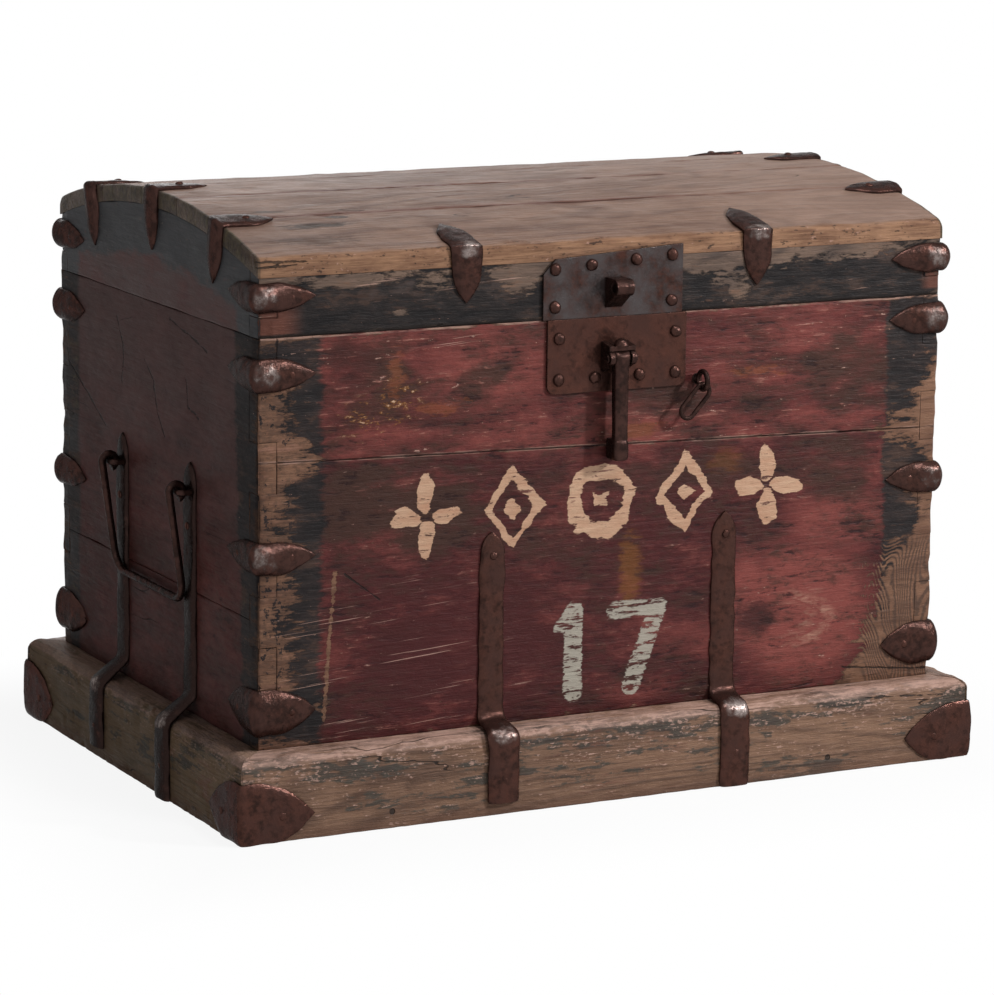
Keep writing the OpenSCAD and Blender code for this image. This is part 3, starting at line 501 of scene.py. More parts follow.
class Surface(Nodes):
    """Builds one material. Patterns read the object's coordinates, which are the chest's own."""

    def __init__(self, name):
        self.material = bpy.data.materials.new(name)
        super().__init__(self.material)
        self.where = self.node("ShaderNodeTexCoord").outputs["Object"]
        apart = self.node("ShaderNodeSeparateXYZ")
        self.feed(apart.inputs[0], self.where)
        self.x, self.y, self.z = (Field(self, apart.outputs[n]) for n in range(3))
        self.wear = Field(self, self.node("ShaderNodeAttribute", attribute_name="wear").outputs["Fac"])

    def noise(self, rates, shift=0.0, detail=3.0, roughness=0.55, bend=0.0, lean=0.0):
        """Cloudy noise about 0 and mostly within -1 and 1, with this many humps a metre along each
        axis. It can lean, by so much height for each metre along x."""
        where = self.where
        if lean:
            leant = self.node("ShaderNodeCombineXYZ")
            for socket, value in zip(leant.inputs, (self.x, self.y, self.z + self.x * lean)):
                self.feed(socket, value)
            where = leant.outputs[0]
        scaled = self.node("ShaderNodeVectorMath", operation="MULTIPLY_ADD")
        self.feed(scaled.inputs[0], where)
        scaled.inputs[1].default_value = rates
        scaled.inputs[2].default_value = (shift, shift * 1.7, shift * 0.6)
        node = self.node("ShaderNodeTexNoise")
        self.feed(node.inputs["Vector"], scaled.outputs[0])
        node.inputs["Scale"].default_value = 1.0
        node.inputs["Detail"].default_value = detail
        node.inputs["Roughness"].default_value = roughness
        node.inputs["Distortion"].default_value = bend
        return self.math("MULTIPLY_ADD", Field(self, node.outputs["Fac"]), 6.0, -3.0)

    def spots(self, u, z, places, ragged):
        """The highest of several soft round patches, each (u, z, half width, half height, strength)."""
        patches = []
        for pu, pz, ru, rz, strength in places:
            du, dz = (u - pu) / ru, (z - pz) / rz
            patches.append(((du * du + dz * dz).root() + ragged).over(1.3, 0.5) * strength)
        return reduce(or_, patches)

    def stroke(self, u, z, start, end, width):
        """How deep a place lies inside a straight brush stroke between two points. The distance to the
        stroke is the length of what is left of the way from its start after the part along it, kept
        within its ends."""
        (u0, z0), (u1, z1) = start, end
        du, dz = u1 - u0, z1 - z0
        length = du * du + dz * dz
        share = ((((u - u0) * du + (z - z0) * dz) * (1 / length)) | 0.0) & 1.0
        pu, pz = u - u0 - share * du, z - z0 - share * dz
        return (pu * pu + pz * pz).root() * (-1.0) + width / 2

    def soft_edge(self, radius):
        """How much an edge turns within radius, and the rounded normal there."""
        bevel = self.node("ShaderNodeBevel", samples=4)
        bevel.inputs["Radius"].default_value = radius
        flat = self.node("ShaderNodeNewGeometry")
        dot = self.node("ShaderNodeVectorMath", operation="DOT_PRODUCT")
        self.feed(dot.inputs[0], bevel.outputs[0])
        self.feed(dot.inputs[1], flat.outputs["Normal"])
        return 1.0 - Field(self, dot.outputs["Value"]), bevel.outputs[0]

    def finish(self, colour, roughness, height, depth, shine, normal=None, metallic=0.0, rim=1.0):
        """The shader. height from 0 to 1 stands for a relief of this depth in metres, and rim is how
        much of its sheen metal keeps where it is seen at a slant."""
        shader = self.node("ShaderNodeBsdfPrincipled")
        self.feed(shader.inputs["Base Color"], colour)
        self.feed(shader.inputs["Roughness"], roughness)
        shader.inputs["Metallic"].default_value = metallic
        shader.inputs["Specular IOR Level"].default_value = shine
        shader.inputs["Specular Tint"].default_value = (rim, rim, rim, 1)
        bump = self.node("ShaderNodeBump")
        bump.inputs["Strength"].default_value = 1.0
        bump.inputs["Distance"].default_value = depth
        self.feed(bump.inputs["Height"], height)
        if normal is not None:
            self.feed(bump.inputs["Normal"], normal)
        self.feed(shader.inputs["Normal"], bump.outputs[0])
        out = self.node("ShaderNodeOutputMaterial")
        self.feed(out.inputs["Surface"], shader.outputs[0])
        return self.material


def rates(grain, along, across):
    """Pattern rates for wood whose grain runs along x or y."""
    return (along, across, across) if grain == "x" else (across, along, across)


def wood(s, grain, pale, dark, shift, rings=2.2):
    """Bare wood: growth rings are the contour lines of a slow stretched noise, over fine fibres.
    Gives its colour, its relief and its fibres."""
    slow = s.noise(rates(grain, 1.5, 9.0), shift, 1.5, 0.4, 0.3)
    line = abs((slow * rings).part() - 0.5) * 2.0
    fibre = s.noise(rates(grain, 22.0, 330.0), shift + 3.1, 4.0, 0.7)
    blotch = s.noise(rates(grain, 7.0, 26.0), shift + 7.7, 4.0, 0.6)
    late = line.over(0.45, 0.98)
    colour = s.mix(late * 0.45 + fibre * 0.34 + blotch * 0.26 + 0.28, pale, dark)
    return colour, late * 0.5 + fibre * 0.3, fibre


def paints():
    """The colours of the settings."""
    return bpy.context.scene.chest_colours


def painted(name, grain, shift, pale, dark, wood_shift, rings=2.2):
    """Begins a wooden surface: its material, its colours, the noises of its old paint, and its bare
    wood's colour, relief and fibres."""
    s, tone = Surface(name), paints()
    n = coat_noises(s, grain, shift)
    return s, tone, n, *wood(s, grain, getattr(tone, pale), getattr(tone, dark), wood_shift, rings)


def coat_noises(s, grain, shift):
    """The noises that old paint shares: clouds, patches, ragged flakes, short strokes, fine lines and
    specks."""
    return SimpleNamespace(
        cloud=s.noise((3.6, 3.6, 5.5), shift + 1.0, 2.0),
        patch=s.noise(rates(grain, 13.0, 30.0), shift + 5.0, 5.0, 0.66),
        flake=s.noise(rates(grain, 52.0, 140.0), shift + 9.0, 5.0, 0.70, 0.4),
        stroke=s.noise(rates(grain, 24.0, 150.0), shift + 6.0, 4.0, 0.68),
        line=s.noise(rates(grain, 16.0, 340.0), shift + 4.0, 3.0, 0.65),
        speck=s.noise(rates(grain, 170.0, 300.0), shift + 2.0, 3.0, 0.6),
    )


def red_lacquer(s, n, warm, dull, rubbed):
    """Old red lacquer: maroon to crimson, dirty brown in places, with dark and rubbed lines along the
    grain, and painted glints."""
    tone = paints()
    mottle = n.patch * 0.5 + n.flake * 0.5
    warmth = warm + n.cloud * 0.15 + n.patch * 0.42 + n.flake * 0.22 + n.stroke * 0.12
    red = s.mix(warmth, tone.maroon, tone.crimson)
    red = s.mix((dull - n.patch * 0.40 + n.flake * 0.32) & 0.88, red, tone.dull_brown)
    red = s.mix((n.stroke * 0.6 + mottle).over(-0.30, -0.95) * 0.85, red, tone.maroon_deep)
    red = s.mix((n.flake * 0.7 - n.patch * 0.6).over(0.30, 0.85) * 0.50, red, tone.dull_brown)
    shown = (n.line * 0.5 + n.stroke * 0.6 + n.flake * 0.4 + n.patch * 0.3).over(0.60, 1.15)
    red = s.mix((shown * rubbed) & 0.85, red, tone.rubbed)
    # Painted glints: pale specks and short lines that stand for the lacquer's highlights, more where rubbed
    # is larger
    glint = (n.line * 0.6 + n.speck * 0.6 + n.flake * 0.5).over(1.10, 1.40)
    return s.mix((glint * rubbed * 1.4) & 0.8, red, tone.scratch_and_glint_pale)


def black_lacquer(s, n):
    """Old black lacquer, with worn grey places and thin lines of wood along the grain."""
    tone = paints()
    black = s.mix(n.patch * 0.35 + n.stroke * 0.22 + n.flake * 0.20 + 0.28, tone.black, tone.black_worn)
    black = s.mix((n.patch - n.flake * 0.6 + n.stroke * 0.3).over(0.15, 0.85) * 0.60, black, tone.bare_brown)
    thin = (n.line * 0.5 + n.stroke * 0.6 + n.flake * 0.5).over(0.70, 1.15)
    black = s.mix(thin * 0.65, black, tone.bare_dark)
    return s.mix((n.line * 0.6 + n.speck * 0.8).over(1.25, 1.5) * 0.6, black, tone.scratch_and_glint_pale)


def flaked(s, n, fibre, loss, paint, bare):
    """Paint over bare wood, gone where loss and the ragged noises pass one, with a dark rim of dirt
    along what is left. Gives the colour and how much paint is there."""
    left = 1.0 - loss - n.flake * 0.30 - n.patch * 0.22 - n.stroke * 0.24 - fibre * 0.08
    kept = left.over(-0.02, 0.05) * (1.0 - (n.speck + n.patch * 0.4).over(1.35, 1.6) * 0.8)
    rim = left.over(-0.20, -0.02) * (1.0 - kept) * 0.6
    colour = s.mix(rim, bare, paints().dirt)
    return s.mix(kept, colour, paint), kept


def cracks(s, grain, shift, places=0.75):
    """Long drying cracks: where a stretched noise passes zero, in some places only."""
    slow = s.noise(rates(grain, 1.7, 17.0), shift, 3.0, 0.5)
    where = s.noise(rates(grain, 4.0, 13.0), shift + 6.0, 2.0)
    return abs(slow).over(0.020, 0.004) * where.over(places, places + 0.25)


def inner_wood(s, n, fibre, relief):
    """Bare wood inside the chest: pale, with grain, brown stains and dark specks."""
    tone = paints()
    colour = s.mix(fibre * 0.25 + relief * 0.45 + n.patch * 0.20 + 0.28, tone.inner_pale, tone.inner_dark)
    stains = (n.cloud * 0.5 + n.patch * 0.5 + n.stroke * 0.2).over(0.3, 1.1)
    colour = s.mix(stains * 0.55, colour, tone.inner_dark)
    return s.mix((n.flake * 0.6 + n.speck * 0.7).over(0.90, 1.25) * 0.5, colour, tone.base_dark)


def board_finish(s, colour, fibre, relief, kept, n, crack, shine, depth=0.0010):
    """The last layers that all wall boards share: dirt in cracks and bare wood inside the chest."""
    colour = s.mix(crack * 0.85, colour, paints().dirt)
    outside = abs(s.x).over(HALF_W - 0.005, HALF_W - 0.0035) | abs(s.y).over(HALF_D - 0.005, HALF_D - 0.0035)
    colour = s.mix(outside, inner_wood(s, n, fibre, relief), colour)
    roughness = 0.46 - kept * 0.06 + n.line * 0.06 + n.patch * 0.07
    height = relief * 0.4 + kept * 0.35 + n.line * 0.07 + n.stroke * 0.18
    height = height + n.patch * 0.22 + n.flake * 0.17 - crack * 1.5
    return s.finish(colour, roughness, height, depth, shine)


def split(s, n, u, z, start, end, width, ragged, soft):
    """A straight crack or scratch between two points, with ragged sides."""
    return (s.stroke(u, z, start, end, width) + n.flake * ragged).over(0.0, soft)


# Height of the painted row's middle, and where along X each motif stands
MOTIF_Z = 0.339
MOTIFS = ((-0.229, "flower"), (-0.122, "lozenge"), (-0.012, "ring"), (0.096, "lozenge"), (0.203, "flower"))
# Start, end and width of each brush stroke of the number
NUMBER_STROKES = (
    ((-0.044, 0.214), (-0.044, 0.122), 0.025), ((-0.062, 0.196), (-0.046, 0.214), 0.017),
    ((0.008, 0.211), (0.066, 0.211), 0.021), ((0.063, 0.208), (0.030, 0.122), 0.024),
)


def motifs(s, n):
    """The row of five worn motifs: a four-petalled flower, a lozenge, a ring, a lozenge and a flower.
    Each is a depth inside its outline, and the largest counts. A slow noise moves the outlines as an
    unsteady hand does, and a ragged one breaks them."""
    wobble, wave = (s.noise((34.0, 34.0, 34.0), shift, 1.0) * 0.0030 for shift in (71.0, 83.0))
    z = s.z - MOTIF_Z + wave
    depths = []
    for middle, kind in MOTIFS:
        u = s.x - middle + wobble
        if kind == "ring":
            depth = 0.0080 - abs((u * u + z * z).root() - 0.034)
            depth = depth | (0.0085 - (abs(u) | abs(z)))
        elif kind == "lozenge":
            tall = abs(u) * 1.2 + abs(z)
            depth = (0.0080 - abs(tall - 0.040)) | (0.013 - tall)
        else:
            a, b = abs(u) - 0.024, abs(z) - 0.026
            petal_u = 0.0175 - ((a * a) * 0.75 + (z * z) * 2.8).root()
            petal_z = 0.0190 - ((b * b) * 0.75 + (u * u) * 2.8).root()
            depth = petal_u | petal_z
        depths.append(depth)
    return reduce(or_, depths) + n.patch * 0.0016 + n.flake * 0.0020 + n.stroke * 0.0016


def number(s, n):
    """A plain two-figure number, brushed in whitewash: the deepest of its strokes."""
    depths = [s.stroke(s.x, s.z, *stroke) for stroke in NUMBER_STROKES]
    return reduce(or_, depths) + n.line * 0.0016 + n.flake * 0.0018


# The seam of the front's two boards: its height at x = 0, and how far it falls for each metre along X
SEAM_Z, SEAM_FALL = 0.4012, 0.02326
# Soft patches on the front: x, z, half width, half height and strength of each
FRONT_PATCHES = {
    "warm": (
        (-0.155, 0.492, 0.085, 0.050, 0.55), (0.215, 0.484, 0.130, 0.050, 0.45),
        (0.178, 0.208, 0.034, 0.060, 0.85), (0.255, 0.185, 0.090, 0.080, 1.35),
        (0.110, 0.165, 0.050, 0.028, 0.45), (0.045, 0.117, 0.060, 0.016, 0.45),
        (0.300, 0.290, 0.070, 0.035, 0.60),
    ),
    "dull": (
        (-0.262, 0.345, 0.095, 0.055, 0.90), (-0.290, 0.480, 0.055, 0.040, 0.60),
        (0.290, 0.350, 0.070, 0.040, 0.55), (-0.165, 0.490, 0.030, 0.020, 0.60),
        (0.050, 0.445, 0.090, 0.024, 0.50), (-0.290, 0.520, 0.060, 0.022, 0.50),
        (0.310, 0.470, 0.060, 0.050, 0.55), (-0.060, 0.300, 0.070, 0.030, 0.35),
        (0.060, 0.360, 0.200, 0.022, 0.40),
    ),
    "rubbed": ((0.230, 0.190, 0.13, 0.08, 0.5), (-0.26, 0.17, 0.13, 0.07, 0.4)),
    "ochre": (
        (0.027, 0.255, 0.014, 0.042, 0.45), (0.150, 0.372, 0.022, 0.014, 0.25),
        (0.030, 0.415, 0.030, 0.010, 0.30),
    ),
    "orange": (
        (-0.268, 0.500, 0.009, 0.020, 0.25), (-0.210, 0.458, 0.024, 0.007, 0.25),
        (0.19, 0.472, 0.03, 0.006, 0.25),
    ),
    "deep": ((-0.175, 0.190, 0.130, 0.085, 1.0), (-0.320, 0.505, 0.030, 0.045, 0.60)),
    "crust": ((-0.290, 0.455, 0.050, 0.030, 1.0), (-0.262, 0.472, 0.030, 0.026, 1.0)),
    "gone": (
        (0.372, 0.113, 0.080, 0.020, 0.9), (-0.352, 0.137, 0.012, 0.008, 0.9),
        (0.398, 0.325, 0.014, 0.030, 0.5),
    ),
    "gone_low": (
        (0.400, 0.180, 0.040, 0.060, 0.35), (0.345, 0.150, 0.050, 0.024, 0.50),
        (0.285, 0.140, 0.024, 0.012, 0.55), (0.125, 0.150, 0.030, 0.024, 0.30),
    ),
    "heart": ((0.188, 0.186, 0.030, 0.020, 1.0),),
    "scratched": ((-0.28, 0.18, 0.17, 0.10, 1.0), (-0.2, 0.536, 0.16, 0.010, 1.4)),
}


def front_lacquer():
    """Front and back of the box: red lacquer between black bands, flaked off along the corners, with
    the painted row and the number on the front only."""
    s, tone, n, bare, relief, fibre = painted("lacquered_front", "x", 0.0, "bare_pale", "bare_dark", 2.0)
    x, z = s.x, s.z
    ragged = n.patch * 0.30 + n.flake * 0.12

    def patches(kind, outline=ragged):
        return s.spots(x, z, FRONT_PATCHES[kind], outline)

    bare = s.mix((n.patch * 0.5 + n.stroke * 0.5).over(0.2, 1.0) * 0.45, bare, tone.pink)
    corner = x.over(-0.35, -0.38) * 0.55 + z.over(0.50, 0.53) * 0.25
    dirty = (n.flake * 0.5 - n.patch * 0.5 + n.speck * 0.3 + corner).over(0.2, 0.9)
    bare = s.mix(dirty * 0.60, bare, tone.bare_brown)
    facing = s.y.over(0.0, -0.01)
    joint = z - SEAM_Z + x * SEAM_FALL
    upper = joint.over(-0.002, 0.002)
    over_joint = joint.within(0.002, 0.024, 0.012)

    warm = 0.06 + upper * 0.12 + over_joint * 0.35 + z.over(0.525, 0.546) * 0.30 + patches("warm")
    dull = 0.14 + upper * 0.10 + patches("dull")
    # How many pale rubbed streaks and painted glints the red gets: far more on the upper board, painting its
    # sheen, and in two rubbed patches low down
    rubbed = 0.25 + upper * 0.60 + patches("rubbed")
    red = red_lacquer(s, n, warm, dull, rubbed)
    red = s.mix(patches("ochre", n.flake * 0.45 + n.stroke * 0.3), red, tone.ochre)
    red = s.mix(patches("orange", n.flake * 0.8 + n.stroke * 0.5), red, tone.orange)
    red = s.mix((patches("deep") + n.flake * 0.15) * 0.75, red, tone.maroon)
    crust = patches("crust")
    red = s.mix(crust * (n.flake * 0.9 + n.speck * 0.4).over(0.25, 0.6) * 0.65, red, tone.ochre)
    red = s.mix(crust * (n.flake * 0.8 + n.speck * 0.6).over(0.75, 1.0) * 0.9, red, tone.cream_pale)

    left = (x + n.patch * 0.004 + n.flake * 0.004 + n.stroke * 0.004).over(-0.350, -0.360)
    right = (x + n.patch * 0.004 + n.flake * 0.004).over(0.356, 0.363)
    paint = s.mix((left | right) * 0.96, red, black_lacquer(s, n))

    # How far the paint has gone: at the corners, on the joint, low down on the right and at the rims
    loss = 0.16 + s.wear * 0.34 + z.over(0.536, 0.546) * 0.45 + z.over(0.106, 0.097) * 0.35
    dashes = s.noise((38.0, 1.0, 210.0), 15.0, 4.0, 0.65)
    edge_x = x + dashes * 0.013
    loss += edge_x.over(-0.350, -0.405) * (0.70 - z.over(0.500, 0.515) * 0.40 - z.over(0.150, 0.125) * 0.40)
    loss += edge_x.over(-0.396, -0.412) * (0.24 - z.over(0.500, 0.515) * 0.16)
    loss += abs(x).within(0.366, 0.412, 0.014) * (0.20 - z.over(0.480, 0.510) * 0.10)
    scraps = (s.noise((170.0, 1.0, 110.0), 18.0, 4.0, 0.7) + dashes * 0.4).over(0.45, 0.85)
    loss -= x.over(-0.380, -0.400) * scraps * 0.8
    loss += x.over(0.398, 0.432) * (0.25 + z.over(0.49, 0.46) * 0.65)
    loss += x.over(0.300, 0.400) * (z.over(0.300, 0.235) * 0.85 + z.within(0.37, 0.44, 0.02) * 0.45)
    loss += (x.over(-0.330, -0.372) * 0.50 + x.over(0.330, 0.372) * 0.22) * joint.within(-0.014, 0.020, 0.008)
    loss += patches("gone")
    loss += joint.within(-0.0016, 0.0022, 0.0015) * 0.38
    scratch = split(s, n, x, z, (-0.339, 0.283), (-0.352, 0.120), 0.0050, 0.0026, 0.0010)
    swirl = s.noise((13.0, 1.0, 5.0), 27.0, 1.5, 0.4, 0.5) + n.flake * 0.02
    ridge = abs((swirl * 8.0).part() - 0.5) * 2.0
    grained = (x + n.patch * 0.010).over(0.325, 0.350) * z.over(0.275, 0.245)
    loss += grained * (ridge * 0.60 - 0.12)
    bare = s.mix(grained * (ridge + n.flake * 0.2).over(0.70, 0.25) * 0.85, bare, tone.bare_brown)
    bare = s.mix(grained * (n.patch * 0.5 + n.flake * 0.4).over(0.0, 0.6) * 0.6, bare, tone.bare_brown)
    loss += patches("gone_low")
    figure = ((x - 0.226) * (x - 0.226) * 240.0 + (z - 0.180) * (z - 0.180) * 900.0).root() + n.patch * 0.10
    figure = figure + n.flake * 0.10 + n.cloud * 0.20
    rings = figure.within(0.90, 1.00, 0.16) | (figure.within(0.58, 0.62, 0.12) * 0.6)
    paint = s.mix(rings * (n.flake * 0.5 + n.stroke * 0.3 + 0.35) * x.over(0.215, 0.255), paint, tone.pink)
    paint = s.mix(patches("heart", n.patch * 0.3 + n.flake * 0.3) * 0.75, paint, tone.maroon_deep)
    colour, kept = flaked(s, n, fibre, loss + scratch * 1.3 * facing, paint, bare)
    leaning = s.noise((7.0, 1.0, 430.0), 6.0, 2.0, 0.6, 0.0, -0.075)
    where = n.patch * 0.6 + patches("scratched", 0.0)
    colour = s.mix(leaning.over(0.85, 1.15) * where.over(0.25, 0.8) * 0.75, colour, tone.scratch_and_glint_pale)
    # A pale line along the box's top edge and the boards' seam: partly rubbed wood, partly a painted
    # highlight on the edges
    edges = z.within(0.5445, 0.550, 0.0012) | joint.within(-0.0012, 0.0016, 0.0008)
    colour = s.mix(edges * (n.stroke + n.line * 0.4).over(-0.5, 0.4) * 0.5, colour, tone.scratch_and_glint_pale)

    cream = motifs(s, n).over(0.0, 0.0010)
    cream = cream * (n.line * 0.6 + n.flake * 0.8 + n.stroke * 0.6).over(1.15, 0.75) * facing
    cream_paint = s.mix(n.patch * 0.4 + 0.45 + n.stroke * 0.35, tone.cream, tone.cream_pale)
    colour = s.mix(cream * 0.94, colour, cream_paint)
    wash = number(s, n).over(0.0, 0.0012)
    wash = wash * (n.line * 0.6 + n.flake * 0.9 + n.stroke * 0.8).over(0.60, 0.10) * facing
    colour = s.mix(wash * 0.85, colour, tone.whitewash)
    crack = cracks(s, "x", 2.5)
    crack = crack | split(s, n, x, z, (-0.327, 0.282), (-0.285, 0.250), 0.0022, 0.0009, 0.0005)
    crack = crack | split(s, n, x, z, (0.311, 0.1155), (0.425, 0.103), 0.0024, 0.0012, 0.0006)
    seams = joint.within(-0.0006, 0.0006, 0.0006) * n.line.over(-1.2, 0.2)
    return board_finish(s, colour, fibre, relief, kept | cream | wash, n, crack | seams * 0.7, 0.10)


# Where the black bands of the ends begin, in metres from the middle
END_BAND = (0.226, 0.238)
# Cracks on the ends, each along a line of points (y, z)
END_CRACKS = (
    ((0.286, 0.490), (0.262, 0.440), (0.215, 0.415), (0.150, 0.383)),
    ((0.110, 0.512), (0.088, 0.480), (0.096, 0.440)),
    ((0.030, 0.478), (0.000, 0.455), (-0.006, 0.425), (-0.030, 0.398)),
    ((-0.050, 0.530), (-0.150, 0.512)),
    ((-0.095, 0.470), (-0.100, 0.440), (-0.128, 0.432)),
)


def end_lacquer():
    """Ends of the box: darker lacquer between black bands."""
    s, tone, n, bare, relief, fibre = painted("lacquered_end", "y", 13.0, "bare_pale", "bare_dark", 11.0)
    y, z = s.y, s.z
    glow = s.spots(y, z, [(-0.158, 0.237, 0.07, 0.07, 0.45), (0.05, 0.36, 0.16, 0.10, 0.12)], n.patch * 0.3)
    red = red_lacquer(s, n, 0.08 + glow, 0.30 + z.over(0.40, 0.52) * 0.25, 0.12)
    faded = z.over(0.26, 0.50) * 0.58 + n.patch * 0.20 + n.cloud * 0.12 + n.flake * 0.12 + 0.12
    red = s.mix(faded & 0.9, s.mix(0.45, red, tone.side_brown), tone.side_grey)
    front = (y + n.patch * 0.005 + n.flake * 0.003 - (z - 0.546) * 0.05).over(-0.220, -0.232)
    rear = (y + n.patch * 0.005).over(*END_BAND)
    black = s.mix((n.flake * 0.6 + n.patch * 0.5).over(0.3, 1.0) * 0.5, black_lacquer(s, n), tone.base_olive)
    paint = s.mix((front | rear) * 0.95, red, black)
    loss = (0.06 + s.wear * 0.36 + abs(y).over(0.258, 0.288) * 0.55 + z.over(0.107, 0.096) * 0.25
            + z.over(0.538, 0.547) * 0.2)
    colour, kept = flaked(s, n, fibre, loss, paint, s.mix(0.6, bare, tone.dirt))
    upright = s.noise((1.0, 190.0, 60.0), 19.0, 3.0, 0.6) + n.patch * 0.5
    colour = s.mix(upright.over(1.05, 1.35) * 0.45, colour, tone.bare_brown)
    crack = cracks(s, "y", 6.5, 0.9)
    bow = n.patch * 0.003 + n.cloud * 0.004
    for line in END_CRACKS:
        for start, end in zip(line, line[1:]):
            crack = crack | (split(s, n, y + bow, z + bow, start, end, 0.0034, 0.0014, 0.0010) * 0.9)
    return board_finish(s, colour, fibre, relief, kept, n, crack, 0.012, 0.0006)


# Soft patches on the lid's front where the black is gone: x, z, half width, half height and strength
LID_PATCHES = (
    (-0.120, 0.590, 0.036, 0.020, 0.80), (0.120, 0.600, 0.050, 0.022, 0.75),
    (0.160, 0.566, 0.022, 0.016, 0.80), (0.150, 0.590, 0.034, 0.026, 0.90),
    (0.205, 0.600, 0.030, 0.018, 0.70), (-0.064, 0.590, 0.040, 0.030, 0.62),
    (-0.220, 0.588, 0.030, 0.016, 0.55), (0.300, 0.602, 0.080, 0.014, 0.5),
    (-0.26, 0.566, 0.018, 0.006, 0.7), (-0.32, 0.600, 0.060, 0.010, 0.4),
)


def lid_front_lacquer():
    """Front and back of the lid: black, flaked to brown wood along its upper side and in patches, with a
    painted shadow along its lower edge.
    """
    s, tone, n, bare, relief, fibre = painted("lacquered_lid_front", "x", 23.0, "lid_bare", "lid_bare_dark",
                                              5.0)
    x, z = s.x, s.z
    bare = s.mix((n.patch * 0.7 + n.stroke * 0.5).over(0.3, 1.1) * 0.7, bare, tone.bare_pale)
    bare = s.mix((n.patch * 0.7 + n.flake * 0.5).over(0.8, 1.2) * 0.6, bare, tone.pink)
    paint = black_lacquer(s, n)
    paint = s.mix((n.patch + n.cloud * 0.5).over(0.2, 1.2) * 0.35, paint, tone.green_grey)
    brown = (n.flake * 0.6 + n.patch * 0.6 + x.over(0.0, 0.35) * 0.35).over(0.50, 1.05)
    paint = s.mix(brown * 0.55, paint, tone.bare_brown)
    rust_left = x.over(-0.372, -0.405) * z.over(0.586, 0.572)
    rust_right = x.over(0.400, 0.418) * z.within(0.556, 0.580, 0.004)
    paint = s.mix((rust_left | rust_right) * 0.85, paint, tone.brick)
    loss = (0.30 + s.wear * 0.30 + z.over(0.586, 0.605) * 0.48 + z.over(0.553, 0.5475) * 0.40
            + abs(x).over(0.405, 0.432) * 0.25)
    loss += x.over(-0.375, -0.415) * z.over(0.590, 0.600) * 0.5
    loss += s.spots(x, z, LID_PATCHES, n.patch * 0.40)
    colour, kept = flaked(s, n, fibre, loss, paint, bare)
    thin = s.noise((9.0, 1.0, 430.0), 8.0, 2.0, 0.6, 0.0, -0.05).over(0.95, 1.25) * n.patch.over(-0.3, 0.5)
    colour = s.mix(thin * 0.7, colour, tone.scratch_and_glint_pale)
    # A painted shadow: a dark strip along the lid's lower edge, in its joint with the box
    colour = s.mix((z + n.flake * 0.0006).over(0.5508, 0.5484) * 0.9, colour, tone.dirt)
    return board_finish(s, colour, fibre, relief, kept, n, cracks(s, "x", 8.5, 0.9), 0.08)


def lid_end_lacquer():
    """Ends of the lid: a blue-black band under the arch and beside the corners, red below it."""
    s, tone, n, bare, relief, fibre = painted("lacquered_lid_end", "y", 33.0, "bare_pale", "bare_dark", 17.0)
    y, z = s.y, s.z
    red = s.mix(0.65, red_lacquer(s, n, 0.08, 0.48, 0.12), tone.side_grey)
    arch = (y * y * (-1.0) + ARCH_R**2).root() + ARCH_Z
    under_arch = (arch - z + n.patch * 0.006 + n.flake * 0.004).over(0.084, 0.072)
    band = under_arch | (abs(y) + n.patch * 0.005).over(*END_BAND)
    black = s.mix((n.patch * 0.35 + 0.70) & 0.95, black_lacquer(s, n), tone.green_grey)
    faded = (n.flake * 0.7 + n.stroke * 0.5 + n.patch * 0.3).over(0.6, 1.1)
    black = s.mix(faded * 0.55, black, tone.side_grey)
    paint = s.mix(band * 0.95, red, black)
    loss = 0.06 + (arch - z).over(0.030, 0.040) * s.wear * 0.30 + abs(y).over(0.262, 0.292) * 0.35
    colour, kept = flaked(s, n, fibre, loss, paint, s.mix(0.55, bare, tone.dirt))
    return board_finish(s, colour, fibre, relief, kept, n, cracks(s, "y", 9.5, 0.9), 0.025, 0.0006)


# Dark marks on the top, near its left front corner: x, y, half width, half depth and strength
TOP_MARKS = (
    (-0.325, -0.205, 0.040, 0.008, 0.8), (-0.29, -0.180, 0.016, 0.006, 0.8),
    (-0.36, -0.15, 0.02, 0.006, 0.6), (-0.345, -0.25, 0.05, 0.012, 0.4),
)


